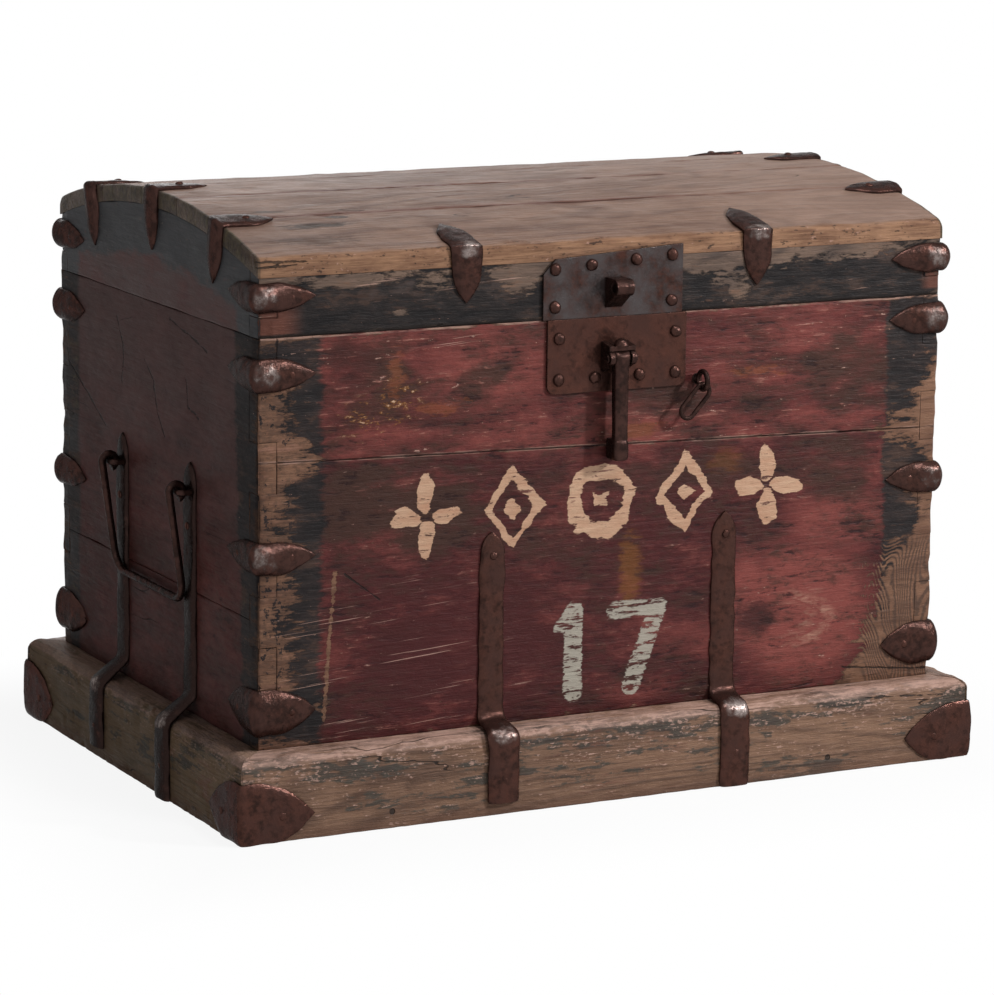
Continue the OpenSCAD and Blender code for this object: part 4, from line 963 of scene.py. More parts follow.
def weathered_top():
    """The lid's top: bare weathered boards, grey-brown, with a rubbed tan front edge and traces of
    red in the joints."""
    s, tone, n, bare, relief, fibre = painted("weathered_top", "x", 43.0, "top_pale", "top_dark", 21.0)
    x, y, z = s.x, s.y, s.z
    streak = s.noise((7.0, 120.0, 120.0), 61.0, 5.0, 0.7)
    colour = s.mix((n.cloud * 0.30 + n.patch * 0.34 + 0.12) & 0.8, bare, tone.top_grime)
    colour = s.mix((streak * 0.8 + n.line * 0.3).over(0.25, 1.0) * 0.60, colour, tone.top_dark)
    colour = s.mix((streak * -0.8 + n.line * 0.3).over(0.45, 1.2) * 0.50, colour, tone.top_light)
    colour = s.mix((s.wear + n.patch * 0.2 + streak * 0.1).over(0.40, 0.75) * 0.65, colour, tone.top_joint)
    colour = s.mix(s.wear.over(0.94, 0.99) * 0.6, colour, tone.dirt)
    colour = s.mix(x.over(0.05, 0.35) * 0.30, colour, tone.top_light)
    colour = s.mix(s.spots(x, y, TOP_MARKS, n.flake * 0.5), colour, tone.dirt)
    # The front face of the top and the rubbed strip behind it
    brow = (y * (-1.0) - HALF_D + 0.012 + n.patch * 0.004 + n.stroke * 0.002).over(0.0, 0.009)
    tan = s.mix(n.patch * 0.35 + n.line * 0.30 + n.stroke * 0.34 + 0.45, tone.edge_pale, tone.edge_dark)
    tan = s.mix((n.flake * 0.7 + n.speck * 0.7 + n.stroke * 0.4).over(0.60, 0.95) * 0.80, tan, tone.dirt)
    tan = s.mix((n.flake * 0.6 - n.speck * 0.6).over(0.70, 1.0) * 0.6, tan, tone.scratch_and_glint_pale)
    colour = s.mix(brow * 0.9, colour, tan)
    sides = abs(x).over(HALF_W - 0.004, HALF_W - 0.002)
    side_paint = s.mix(n.flake * 0.5 + 0.4, tone.black_worn, tone.base_olive)
    colour = s.mix((sides * (n.patch * 0.3 + 0.80)) & 0.95, colour, side_paint)
    lower = split(s, n, x, z, (-0.43, 0.6225), (-0.385, 0.6235), 0.0022, 0.0012, 0.0005)
    upper = split(s, n, x, z, (-0.43, 0.6285), (-0.375, 0.6270), 0.0026, 0.0016, 0.0005)
    crack = cracks(s, "x", 6.0, 0.55) | (lower | upper) * brow
    colour = s.mix(crack * 0.8, colour, tone.dirt)
    under = (ARCH_R - TOP_T + 0.002) - (y * y + (z - ARCH_Z) * (z - ARCH_Z)).root()
    outer_face = sides | abs(y).over(HALF_D - 0.004, HALF_D - 0.002)
    colour = s.mix(under.over(0.0, 0.0015) * (1.0 - outer_face), colour, inner_wood(s, n, fibre, relief))
    roughness = 0.50 + n.patch * 0.07 + n.line * 0.05
    height = relief * 0.7 + n.line * 0.14 + streak * 0.28 + n.patch * 0.2 + n.flake * 0.06 - crack * 1.6
    return s.finish(colour, roughness, height, 0.0009, 0.07)


def base_timber(name, grain):
    """The base rails: brown worn timber with remnants of black paint, and pale rubbed edges that are
    partly a painted highlight.
    """
    is_long = grain == "x"
    wood_shift = 31.0 if is_long else 37.0
    s, tone, n, bare, relief, fibre = painted(name, grain, 53.0, "base_pale", "base_dark", wood_shift, 3.0)
    x, z = s.x, s.z
    if not is_long:
        bare = s.mix(0.55, bare, tone.base_olive)
    high = z.over(0.030, 0.070)
    colour = s.mix((n.stroke * 0.5 + n.patch * 0.5).over(0.1, 1.0) * 0.5, bare, tone.base_dark)
    colour = s.mix((n.cloud * 0.4 - n.patch * 0.5 + n.stroke * 0.5).over(0.4, 1.0) * 0.5, colour, tone.brick)
    smear = s.noise(rates(grain, 6.0, 42.0), 91.0, 4.0, 0.6)
    soot = smear * 0.80 + n.patch * 0.40 + n.flake * 0.40 + n.stroke * 0.35 + high * 0.35
    soot_colour = s.mix(n.flake * 0.4 + 0.4, tone.black_worn, tone.base_soot)
    colour = s.mix(soot.over(0.30, 0.75) * 0.88, colour, soot_colour)
    # Painted glints on the rail, more of them higher up and near its top edge
    glint = n.speck * 0.55 + n.flake * 0.45 + n.line * 0.5 + high * 0.35 + z.over(0.078, 0.090) * 0.25
    colour = s.mix(glint.over(0.65, 1.15) * (0.75 if is_long else 0.35), colour, tone.base_rubbed_and_highlight)
    # The pale lip along the rail's rounded top edge: rubbed wood, partly a painted highlight
    lip_wear_and_highlight = (n.patch * 0.5 + n.flake * 0.6 + n.line * 0.3) * 0.6 + 0.50
    lip = (z - BASE_H + 0.012).over(0.0, 0.006) * lip_wear_and_highlight
    colour = s.mix((lip | 0.0) & (0.85 if is_long else 0.4), colour, tone.base_rubbed_and_highlight)
    colour = s.mix((z.over(0.020, 0.0) * (n.patch * 0.4 + 0.6)) & 0.8, colour, tone.bare_dark)
    crack = cracks(s, grain, 9.0, 0.3)
    if is_long:
        pin_u, pin_z = abs(x + 0.005) - 0.279, z - 0.019
        hole = (pin_u * pin_u + pin_z * pin_z).root().over(0.0040, 0.0028)
        crack = crack | hole | split(s, n, x, z, (0.32, 0.085), (0.43, 0.078), 0.0024, 0.0014, 0.0006)
    colour = s.mix(crack * 0.85, colour, tone.dirt)
    roughness = 0.46 + n.patch * 0.08 + n.line * 0.06
    height = (relief * 0.7 + n.line * 0.16 + n.stroke * 0.18 + n.patch * 0.25 + n.flake * 0.14
              + n.speck * 0.03 - crack * 1.8)
    return s.finish(colour, roughness, height, 0.0012, 0.13 if is_long else 0.015)


def raw_boards():
    """The bottom boards: unpainted, dusty and rough."""
    s = Surface("raw_boards")
    tone = paints()
    bare, relief, fibre = wood(s, "x", tone.inner_pale, tone.inner_dark, 41.0)
    dust = s.noise((13.0, 13.0, 13.0), 3.0, 4.0)
    edge, soft = s.soft_edge(0.0015)
    colour = s.mix(dust * 0.25 + 0.3, bare, tone.base_dark)
    colour = s.mix(edge.over(0.3, 0.8) * 0.4, colour, tone.dirt)
    return s.finish(colour, 0.78 + fibre * 0.03, relief, 0.0007, 0.2, soft)


def forged_iron(name, rust, blue, drawn):
    """Wrought iron under old wax: dark brown with rust and bare dark places, softly dented, and
    polished bright where the points say, partly as a painted highlight. Pieces that keep the frame's exact
    shape are drawn with softened edges."""
    s = Surface(name)
    tone = paints()
    broad = s.noise((26.0, 26.0, 26.0), 1.0, 5.0, 0.66)
    fine = s.noise((110.0, 110.0, 110.0), 2.0, 5.0, 0.70)
    grit = s.noise((380.0, 380.0, 380.0), 3.0, 3.0, 0.6)
    colour = s.mix(broad * 0.45 + rust, tone.iron_brown, tone.iron_rust)
    colour = s.mix((fine * 0.7 + broad * 0.4 - rust).over(-0.6, 0.7) * 0.75, colour, tone.iron_dark)
    if blue:
        colour = s.mix((blue - broad * 0.5 + fine * 0.2) & 0.9, colour, tone.iron_blue)
    soft = None
    if drawn:
        edge, soft = s.soft_edge(0.0013)
        colour = s.mix(edge.over(0.08, 0.6) * 0.4, colour, tone.iron_bright)
    # Polished iron where the straps turn and near their corners, from the points' wear: partly polish, partly
    # a painted highlight
    worn = (s.wear + (fine * 0.30 + broad * 0.40) * s.wear).over(0.36, 0.95)
    colour = s.mix(worn * 0.75, colour, tone.iron_polish_and_highlight)
    roughness = (0.25 + fine * 0.06 + grit * 0.03 + broad * 0.06) | 0.14
    height = broad * 0.22 + fine * 0.13 + grit * 0.012
    return s.finish(colour, roughness, height, 0.0011, 0.04, soft, 0.60, 0.30)


def cover_node(node, material):
    """Gives a CAD node that keeps its own shape its material."""
    mesh = frame["nodes"][node].data
    mesh.materials.clear()
    mesh.materials.append(material)


def finish_of(name, make, *rest):
    """The material of this name, made the first time that it is asked for."""
    return bpy.data.materials.get(name) or make(name, *rest)


# For each kind of iron: how rusty, how grey, and whether it keeps the frame's exact shape
IRONS = {
    "strap": (0.30, 0.0, False), "leaf": (0.10, 0.0, False), "nail": (0.20, 0.0, False),
    "dark": (-0.80, 0.0, False), "bar": (-0.10, 0.0, True), "hinge": (0.25, 0.0, True),
    "plate_upper": (0.10, 0.50, True), "plate_lower": (0.45, 0.0, True),
}


def iron(kind):
    """The material of one kind of iron."""
    return finish_of("forged_iron_" + kind, forged_iron, *IRONS[kind])


# Settings


def colour_setting(name, description, value):
    return FloatVectorProperty(
        name=name, description=description, default=value, subtype="COLOR", min=0, max=1)


def size_setting(name, description, value, most, least=0):
    return FloatProperty(
        name=name, description=description, default=value, min=least, max=most, unit="LENGTH")


class ChestColours(bpy.types.PropertyGroup):
    """Colours of the chest's finishes."""

    maroon: colour_setting("Maroon", "Dark red lacquer", (0.056, 0.0130, 0.0135))
    crimson: colour_setting("Crimson", "Bright places of the red lacquer", (0.190, 0.050, 0.042))
    dull_brown: colour_setting("Dull brown", "Dirty places of the red lacquer", (0.045, 0.0225, 0.0165))
    side_brown: colour_setting("Side brown", "The ends' darker lacquer", (0.044, 0.014, 0.011))
    side_grey: colour_setting("Side grey", "Faded lacquer high on the ends", (0.105, 0.060, 0.056))
    rubbed: colour_setting("Rubbed red", "Rubbed streaks in the lacquer", (0.270, 0.112, 0.088))
    black: colour_setting("Black lacquer", "Fresh places of the black bands", (0.0125, 0.0110, 0.0115))
    black_worn: colour_setting("Worn black", "Worn places of the black bands", (0.038, 0.029, 0.0265))
    bare_pale: colour_setting("Bare wood", "Wood where the lacquer is gone", (0.190, 0.100, 0.062))
    bare_dark: colour_setting("Bare wood, dark", "Late growth in the bare wood", (0.105, 0.052, 0.034))
    cream: colour_setting("Cream paint", "The motifs on the front", (0.440, 0.245, 0.155))
    cream_pale: colour_setting("Pale cream paint", "Thick places of the motifs", (0.530, 0.350, 0.235))
    whitewash: colour_setting("Whitewash", "The number on the front", (0.380, 0.350, 0.290))
    ochre: colour_setting("Ochre", "Stains on the front", (0.200, 0.080, 0.018))
    # This colour also paints the shadow along the lid's lower edge
    dirt: colour_setting("Dirt", "Joints and cracks", (0.012, 0.009, 0.008))
    inner_pale: colour_setting("Inner wood", "Bare boards inside", (0.330, 0.215, 0.130))
    inner_dark: colour_setting("Inner wood, dark", "Grain of the boards inside", (0.190, 0.115, 0.068))
    top_pale: colour_setting("Top wood", "The weathered top", (0.220, 0.134, 0.098))
    top_dark: colour_setting("Top wood, dark", "Grain of the weathered top", (0.105, 0.058, 0.042))
    top_grime: colour_setting("Top grime", "Dark places of the top", (0.115, 0.072, 0.058))
    edge_pale: colour_setting("Rubbed edge", "The top's rubbed front edge", (0.300, 0.165, 0.095))
    edge_dark: colour_setting("Rubbed edge, dark", "Dark places of the front edge", (0.140, 0.070, 0.042))
    base_pale: colour_setting("Base wood", "The base rails", (0.215, 0.122, 0.078))
    base_dark: colour_setting("Base wood, dark", "Grain of the base rails", (0.090, 0.050, 0.034))
    # Partly rubbed wood, partly a painted highlight along the base's top edge
    base_rubbed_and_highlight: colour_setting("Base edge", "Rubbed edge of the base", (0.430, 0.270, 0.215))
    base_olive: colour_setting("Base, olive", "Tint of the end rails", (0.100, 0.078, 0.042))
    iron_dark: colour_setting("Iron", "Dark places of the iron", (0.015, 0.0105, 0.0095))
    iron_brown: colour_setting("Brown iron", "Main colour of the iron", (0.058, 0.029, 0.024))
    iron_rust: colour_setting("Rust", "Rusty places of the iron", (0.090, 0.036, 0.026))
    iron_blue: colour_setting("Grey iron", "Bare grey places of the lock plate", (0.078, 0.068, 0.068))
    iron_bright: colour_setting("Bright iron", "Rubbed edges of the iron", (0.110, 0.080, 0.070))
    # Partly polished iron, partly a painted highlight where the straps bend and near corners
    iron_polish_and_highlight: colour_setting("Polished iron", "Iron rubbed bright where it bends", (0.340, 0.285, 0.265))
    maroon_deep: colour_setting("Deep maroon", "Dark lines in the lacquer", (0.018, 0.0075, 0.0080))
    # Pale scratches, and also painted glints and highlight lines along edges
    scratch_and_glint_pale: colour_setting("Scratches", "Fine pale scratches", (0.420, 0.260, 0.210))
    orange: colour_setting("Orange", "Rusty blobs on the lacquer", (0.360, 0.110, 0.040))
    bare_brown: colour_setting("Brown wood", "Dirty bare wood", (0.066, 0.038, 0.028))
    lid_bare: colour_setting("Lid wood", "Wood of the lid where the black is gone", (0.165, 0.110, 0.082))
    lid_bare_dark: colour_setting("Lid wood, dark", "Grain of the lid's wood", (0.070, 0.050, 0.042))
    green_grey: colour_setting("Green grey", "Cold worn places of the black", (0.060, 0.063, 0.067))
    brick: colour_setting("Brick red", "Reddish-brown remnants", (0.125, 0.048, 0.034))
    pink: colour_setting("Pink wood", "Pinkish bare places", (0.330, 0.165, 0.120))
    top_light: colour_setting("Top, light", "Rubbed streaks of the top", (0.330, 0.220, 0.170))
    base_soot: colour_setting("Base soot", "Grey-green smears on the base", (0.060, 0.058, 0.046))
    top_joint: colour_setting("Top joints", "Reddish dirt beside the top's joints", (0.120, 0.052, 0.040))


class ChestSizes(bpy.types.PropertyGroup):
    """Sizes of what is added to the frame."""

    crown: size_setting("Crown", "How far the corner straps bulge in the middle", 0.0042, 0.006)
    knuckle: size_setting("Knuckle", "How much further they bulge beside the corner", 0.0028, 0.004)
    plate_crown: size_setting("Plate crown", "How far the base plates bulge", 0.0019, 0.0025)
    ridge: size_setting("Ridge", "How high the lid straps' ridges stand", 0.0042, 0.006)
    edge_round: size_setting("Edge radius", "How far the boards' edges are worn round", 0.0011, 0.002, 0.0002)
    wood_wear: size_setting("Wood wear", "How uneven the worn edges of the wood are", 0.0011, 0.003)
    steps: IntProperty(name="Steps", description="Rings along a board", default=220, min=40, max=400)


# Stage

# The camera as measured on the photograph: where it stands round the chest, how far it is turned, its
# distance, its lens in millimetres and the point that it looks at
AZIMUTH, ELEVATION, ROLL = (math.radians(angle) for angle in (-27.19, 11.20, 0.69))
DISTANCE, LENS, SENSOR = 4.889, 149.68, 36
LOOKED_AT = (0.006, 0, 0.288)
# Name, place, size in metres and power in watts of each lamp, and the point that they aim at
LAMPS = (
    ("key", (2.75, -2.75, 2.35), 0.42, 140), ("overhead", (0.35, -1.5, 3.3), 0.60, 48),
    ("left_fill", (-3.4, -2.2, 1.6), 1.2, 9), ("back_fill", (0.8, 3.6, 2.0), 2.6, 34),
)
LIT = (0, 0, 0.3)
FLOOR_REACH = 9


class ChestOperator:
    bl_options = {"REGISTER", "UNDO"}


class CHEST_OT_stage(ChestOperator, bpy.types.Operator):
    """Add the camera, the lamps, the floor and the background"""

    bl_idname = "chest.stage"
    bl_label = "Stage"

    def execute(self, context):
        scene = context.scene
        scene.view_settings.view_transform = "Standard"
        self.camera(scene)
        for lamp in LAMPS:
            self.lamp(*lamp)
        self.floor()
        self.world(scene)
        return {"FINISHED"}

    def camera(self, scene):
        """The camera looks at the chest from the front left, 4.9 m away, turned by its roll."""
        flat = math.cos(ELEVATION)
        back = Vector((math.sin(AZIMUTH) * flat, -math.cos(AZIMUTH) * flat, math.sin(ELEVATION)))
        right = Vector((math.cos(AZIMUTH), math.sin(AZIMUTH), 0))
        turned = right * math.cos(ROLL) + back.cross(right) * math.sin(ROLL)
        data = bpy.data.cameras.new("camera")
        data.lens, data.sensor_width = LENS, SENSOR
        data.clip_end = 60
        camera = bpy.data.objects.new("camera", data)
        scene.collection.objects.link(camera)
        axes = Matrix((turned, back.cross(turned), back)).transposed()
        camera.matrix_world = Matrix.Translation(Vector(LOOKED_AT) + back * DISTANCE) @ axes.to_4x4()
        scene.camera = camera

    def lamp(self, name, where, size, power):
        data = bpy.data.lights.new(name, "AREA")
        data.shape, data.size, data.energy = "DISK", size, power
        lamp = bpy.data.objects.new(name, data)
        bpy.context.scene.collection.objects.link(lamp)
        aim = Vector(LIT) - Vector(where)
        lamp.matrix_world = Matrix.Translation(where) @ aim.to_track_quat("-Z", "Y").to_matrix().to_4x4()

    def seen(self, s):
        """1 for what the camera, a reflection or glass sees, and 0 for what lights the object."""
        path = s.node("ShaderNodeLightPath").outputs
        return reduce(or_, (Field(s, path[f"Is {ray} Ray"]) for ray in ("Camera", "Glossy", "Transmission")))

    def floor(self):
        """A matt floor that takes the shadow near the chest and is pure white further away."""
        mesh = bpy.data.meshes.new("floor")
        places = [(FLOOR_REACH * x, FLOOR_REACH * y, 0) for x, y in ((-1, -1), (1, -1), (1, 1), (-1, 1))]
        mesh.from_pydata(places, [], [(0, 1, 2, 3)])
        floor = bpy.data.objects.new("floor", mesh)
        bpy.context.scene.collection.objects.link(floor)
        s = Surface("floor")
        beside = (abs(s.x) - BASE_HALF_W) | (abs(s.y) - BASE_HALF_D)
        share = self.seen(s) * (beside.over(0.0, 0.30) * 0.10 + 0.90)
        matt = s.node("ShaderNodeBsdfDiffuse")
        matt.inputs["Color"].default_value = (0.8, 0.8, 0.8, 1)
        both = s.node("ShaderNodeMixShader")
        s.feed(both.inputs[0], share)
        s.feed(both.inputs[1], matt.outputs[0])
        s.feed(both.inputs[2], s.node("ShaderNodeEmission").outputs[0])
        s.feed(s.node("ShaderNodeOutputMaterial").inputs["Surface"], both.outputs[0])
        mesh.materials.append(s.material)

    def world(self, scene):
        world = bpy.data.worlds.new("studio")
        scene.world = world
        s = Nodes(world)
        dim = s.node("ShaderNodeBackground")
        dim.inputs["Color"].default_value = (0.93, 0.96, 1, 1)
        dim.inputs["Strength"].default_value = 0.12
        white = s.node("ShaderNodeBackground")
        white.inputs["Color"].default_value = (1, 1, 1, 1)
        both = s.node("ShaderNodeMixShader")
        s.feed(both.inputs[0], self.seen(s))
        s.feed(both.inputs[1], dim.outputs[0])
        s.feed(both.inputs[2], white.outputs[0])
        s.feed(s.node("ShaderNodeOutputWorld").inputs["Surface"], both.outputs[0])


# Wood


def seam_heights(side):
    """Heights at which a wall's two boards meet: at the left end and at the right."""
    lower_top, upper_foot = corners(side + "_board_lower")[1][2], corners(side + "_board_upper")[0][2]
    return lower_top + BOARD_GAP / 2, upper_foot - BOARD_GAP / 2


def jointed(half, low, high, lines, removed, step=0.009):
    """Grid lines of a board along and up, and its solid cells. At both ends the board gives way
    between the lines of every removed finger."""
    shoulder = half - WALL_T - BOARD_GAP
    spans = np.array([(lines[n] - BOARD_GAP / 2, lines[n + 1] + BOARD_GAP / 2) for n in removed])
    inner = spans[(spans > low + 0.001) & (spans < high - 0.001)]
    us = close_lines((-half, half), (-shoulder, shoulder), step)
    hs = close_lines((low, high), inner, step)
    at_end = np.abs(us[1:] + us[:-1]) / 2 > shoulder
    middle = (hs[1:] + hs[:-1])[:, None] / 2
    gone = ((middle > spans[:, 0]) & (middle < spans[:, 1])).any(1)
    return us, hs, ~(at_end[:, None] & gone)


def drawn_back(half, base, step, seed):
    """For each finger, how far its end has shrunk back. Gives u moved by it near the ends."""
    count, most, near = 16, 0.0012, 0.02
    shrunk = np.random.default_rng(seed).uniform(0, most, count)

    def moved(u, h):
        finger = np.clip((h - base) / step, 0, count - 1).astype(int)
        return u - np.sign(u) * shrunk[finger] * np.clip((np.abs(u) - half + near) / near, 0, 1)
    return moved


def lacquer_of(side, long_way, short_way):
    """A wall's own lacquer, and the axis of its ends with the lacquer that runs over them."""
    return (long_way, (0, short_way)) if side in LONG_SIDES else (short_way, (1, long_way))


class CHEST_OT_walls(ChestOperator, bpy.types.Operator):
    """Make the worn boards of the box and finish its bottom boards"""

    bl_idname = "chest.walls"
    bl_label = "Box boards"

    def execute(self, context):
        worn = context.scene.chest_sizes.edge_round
        long_way, short_way = front_lacquer(), end_lacquer()
        for n, side in enumerate(("front", "left", "back", "right")):
            material, around = lacquer_of(side, long_way, short_way)
            for upper, part in enumerate(("lower", "upper")):
                solid = self.board(side, upper, 500 + 20 * n + 5 * upper, worn)
                node = f"{side}_board_{part}"
                place(f"{side}_{part}", [solid], node, material, 50, around)
        cover_node("bottom_boards", raw_boards())
        return {"FINISHED"}

    def board(self, side, upper, seed, worn):
        """A board of a wall: a slab with the fingers of its joints, whose edge along the seam slants by
        a share that fades to nothing before the first finger."""
        half = wall_axes(side)[2]
        left, right = seam_heights(side)
        middle, slope = (left + right) / 2, (right - left) / (2 * (half - WALL_T - BOARD_GAP))
        low, high = (middle + BOARD_GAP / 2, JOINT_Z) if upper else (BASE_H, middle - BOARD_GAP / 2)
        step = (JOINT_Z - BASE_H) / FINGERS
        lines = BASE_H + step * np.arange(FINGERS + 1)
        us, hs, solid = jointed(half, low, high, lines, range(side in LONG_SIDES, FINGERS, 2))
        moved = drawn_back(half, BASE_H, step, seed)

        def shape(u, h, depth):
            share = (0.026 - h + middle) / 0.020 if upper else (h - middle + 0.020) / 0.014
            return moved(u, h), h + slope * u * np.clip(share, 0, 1)
        return board(us, hs, solid, shape, side, seed, worn)


class CHEST_OT_lid_boards(ChestOperator, bpy.types.Operator):
    """Make the worn front, back and end boards of the lid"""

    bl_idname = "chest.lid_boards"
    bl_label = "Lid boards"

    def execute(self, context):
        worn = context.scene.chest_sizes.edge_round
        long_way, short_way = lid_front_lacquer(), lid_end_lacquer()
        for n, side in enumerate(SIDES):
            node = f"lid_{side}_board" if side in LONG_SIDES else "lid_end_" + side
            material, around = lacquer_of(side, long_way, short_way)
            solid = self.board(side, 600 + 10 * n, worn)
            place("lid_" + side, [solid], node, material, 50, around)
        return {"FINISHED"}

    def board(self, side, seed, worn):
        """A board of the lid. Its upper side follows the underside of the top, a circle about a line
        along X: across its thickness at the front and back, along its length at the ends."""
        half = wall_axes(side)[2]
        low = corners("lid_front_board")[0][2]
        step = (EDGE_Z - JOINT_Z - TOP_T) / LID_FINGERS
        lines = low + step * np.arange(LID_FINGERS + 2)
        under_r = ARCH_R - TOP_T - SEAT
        is_end = side not in LONG_SIDES
        high = ARCH_Z + math.sqrt(under_r**2 - (0 if is_end else HALF_D) ** 2)
        if is_end:
            lines[-1] = high + step
        us, hs, solid = jointed(half, low, high, lines, (0, 2, 3) if is_end else (1,), 0.007)
        moved = drawn_back(half, low, step, seed)

        def shape(u, h, depth):
            arch = ARCH_Z + np.sqrt(under_r**2 - (u if is_end else HALF_D - depth) ** 2)
            if is_end:
                stretched = lines[2] + (h - lines[2]) * (arch - lines[2]) / (high - lines[2])
                return moved(u, h), np.where(h > lines[2], stretched, h)
            return moved(u, h), h + (arch - high) * np.clip((h - high + 0.014) / 0.009, 0, 1)
        return board(us, hs, solid, shape, side, seed, worn)


# Radii of the top boards' upper edges: along the lid's front and back, along the seams, at the ends
TOP_ROUND, TOP_SEAM_ROUND, TOP_END_ROUND = 0.0050, 0.0012, 0.0022


class CHEST_OT_lid_top(ChestOperator, bpy.types.Operator):
    """Make the worn top boards"""

    bl_idname = "chest.lid_top"
    bl_label = "Lid top"

    def execute(self, context):
        material = weathered_top()
        for n in range(1, TOP_BOARDS + 1):
            node = f"lid_top_board_{n}"
            solid = self.board(node, n, context.scene.chest_sizes)
            place(f"top_board_{n}", [solid], node, material, 60)
        return {"FINISHED"}

    def board(self, node, n, sizes):
        """A slab between two arcs, carried along X. Its upper edges are quarter circles whose radius a
        smooth random field varies, far larger along the lid's front and back."""
        low, high = corners(node)
        y0, y1 = low[1] + BOARD_GAP / 2, high[1] - BOARD_GAP / 2
        reach = np.linspace(-1, 1, sizes.steps)
        x = HALF_W * np.sign(reach) * (1 - (1 - np.abs(reach)) ** 1.3)
        line = np.stack([x, np.full_like(x, y0), np.zeros_like(x)], -1)
        r0, r1 = ((TOP_ROUND if n == outmost else TOP_SEAM_ROUND)
                  * varied(line, 0.05, n + seed, 0.45, 0.3, 2.2)[:, None]
                  for outmost, seed in ((1, 40), (TOP_BOARDS, 50)))
        a = np.linspace(0, np.pi / 2, 7)
        t = np.linspace(0, 1, 30)[1:-1]
        flat_y = (y0 + r0) * (1 - t) + (y1 - r1) * t
        y = np.concatenate([y0 + r0 * (1 - np.cos(a)), flat_y, y1 - r1 * (1 - np.cos(a[::-1]))], 1)
        drop = np.concatenate([r0 * (1 - np.sin(a)), np.zeros_like(flat_y), r1 * (1 - np.sin(a[::-1]))], 1)
        points = np.stack([np.broadcast_to(x[:, None], y.shape), y, arch_height(y)], -1)
        drop = drop + np.abs(unevenness(points, 0.06, n)) * sizes.wood_wear * 0.5
        drop = drop + 0.0003 * np.random.default_rng(n).uniform(0, 1)
        drop = drop + np.clip(unevenness(points, 0.011, n + 9) - 0.5, 0, 2) * 0.0003
        end_r = TOP_END_ROUND * varied(points, 0.03, n + 60, 0.5, 0.3, 2)
        within = np.clip(end_r - (HALF_W - np.abs(points[..., 0])), 0, None)
        points[..., 2] -= drop + end_r - np.sqrt(end_r**2 - np.minimum(within, end_r) ** 2)
        if n in (1, TOP_BOARDS):
            column = np.arange(points.shape[1])
            outer = column < 4 if n == 1 else column > points.shape[1] - 5
            dent = np.clip(unevenness(points, 0.03, n + 20), 0, 2) * 0.0006 * outer
            points[..., 1] -= np.sign(points[..., 1]) * dent
        wear = np.exp(-np.minimum(y - y0, y1 - y) / 0.007)

        under_y = np.linspace(y1, y0, 10)
        under_z = ARCH_Z + np.sqrt((ARCH_R - TOP_T) ** 2 - under_y**2)
        under = np.stack(np.broadcast_arrays(x[:, None], under_y, under_z), -1)
        rise = np.linspace(0, 1, 6)[1:-1, None]
        behind = points[:, -1:] * (1 - rise) + under[:, :1] * rise
        ahead = under[:, -1:] * (1 - rise) + points[:, :1] * rise
        whole = np.concatenate([points, behind, under, ahead], 1)
        worn = np.concatenate([wear, np.full((len(x), whole.shape[1] - wear.shape[1]), 0.3)], 1)
        return tube(whole, worn)


class CHEST_OT_base(ChestOperator, bpy.types.Operator):
    """Make the worn base rails"""

    bl_idname = "chest.base"
    bl_label = "Base frame"

    def execute(self, context):
        for n, side in enumerate(SIDES):
            grain = "x" if side in LONG_SIDES else "y"
            material = finish_of("base_timber_" + grain, base_timber, grain)
            solid = self.rail(side, 51 + 3 * n, context.scene.chest_sizes)
            place("rail_" + side, [solid], "base_rail_" + side, material, 50)
        return {"FINISHED"}

    def rail(self, side, seed, sizes):
        """A rail's section, a rectangle with a rounded outer top edge, carried along its length. The
        ends are mitred: the length shrinks with the distance inwards. It is worn most round its lip."""
        half_len, out_at = BASE_HALF_W, BASE_HALF_D
        if side not in LONG_SIDES:
            half_len, out_at = out_at, half_len
        a = np.linspace(0, np.pi / 2, 9)
        r = RAIL_ROUND
        face = np.concatenate([[0, 0.0007, 0.0016, 0.003], np.linspace(0.003, BASE_H - r, 14)[1:-1]])
        foot = 0.0016 * (1 - np.sqrt(1 - np.clip(1 - face / 0.0016, 0, 1) ** 2))
        depth = np.concatenate([foot, r - r * np.cos(a), np.linspace(r, RAIL_W, 12)[1:],
                                np.full(3, RAIL_W), np.linspace(RAIL_W, foot[0], 4)[:-1]])
        high = np.concatenate([face, BASE_H - r + r * np.sin(a), np.full(11, BASE_H),
                               np.linspace(BASE_H, 0, 4)[1:], np.zeros(3)])
        t = np.linspace(-1, 1, sizes.steps)[:, None]
        along = t * (half_len - depth - BOARD_GAP)
        points = np.stack(np.broadcast_arrays(along, -out_at + depth, high), -1)
        lip = np.exp(-(np.hypot(depth - 0.003, high - BASE_H + 0.003) / 0.016) ** 2)
        worn = np.abs(unevenness(points, 0.055, seed)) * sizes.wood_wear * 1.5 * lip
        flat = np.abs(unevenness(points, 0.02, seed + 1)) * 0.0004
        flat = flat + np.abs(unevenness(points, 0.10, seed + 2)) * 0.0006
        nicks = np.clip(unevenness(points, 0.009, seed + 3) - 1.0, 0, 1) * 0.0009
        points[..., 1] += (worn + flat + nicks) * (depth < RAIL_W * 0.3)
        points[..., 2] -= (worn * 0.8 + flat * 0.3) * (high > BASE_H * 0.7) * (depth < LEDGE)
        if side not in LONG_SIDES:
            points = points[..., [1, 0, 2]] * [1, -1, 1]
        flip = {"back": (1, -1, 1), "right": (-1, 1, 1)}.get(side, (1, 1, 1))
        return tube(points * flip)


# Iron

# Width of a long strap, and the length of its pointed top
LONG_W, LONG_TIP = 0.031, 0.026
# How much wider a long strap is on each side at its foot
FOOT_FLARE = 0.003
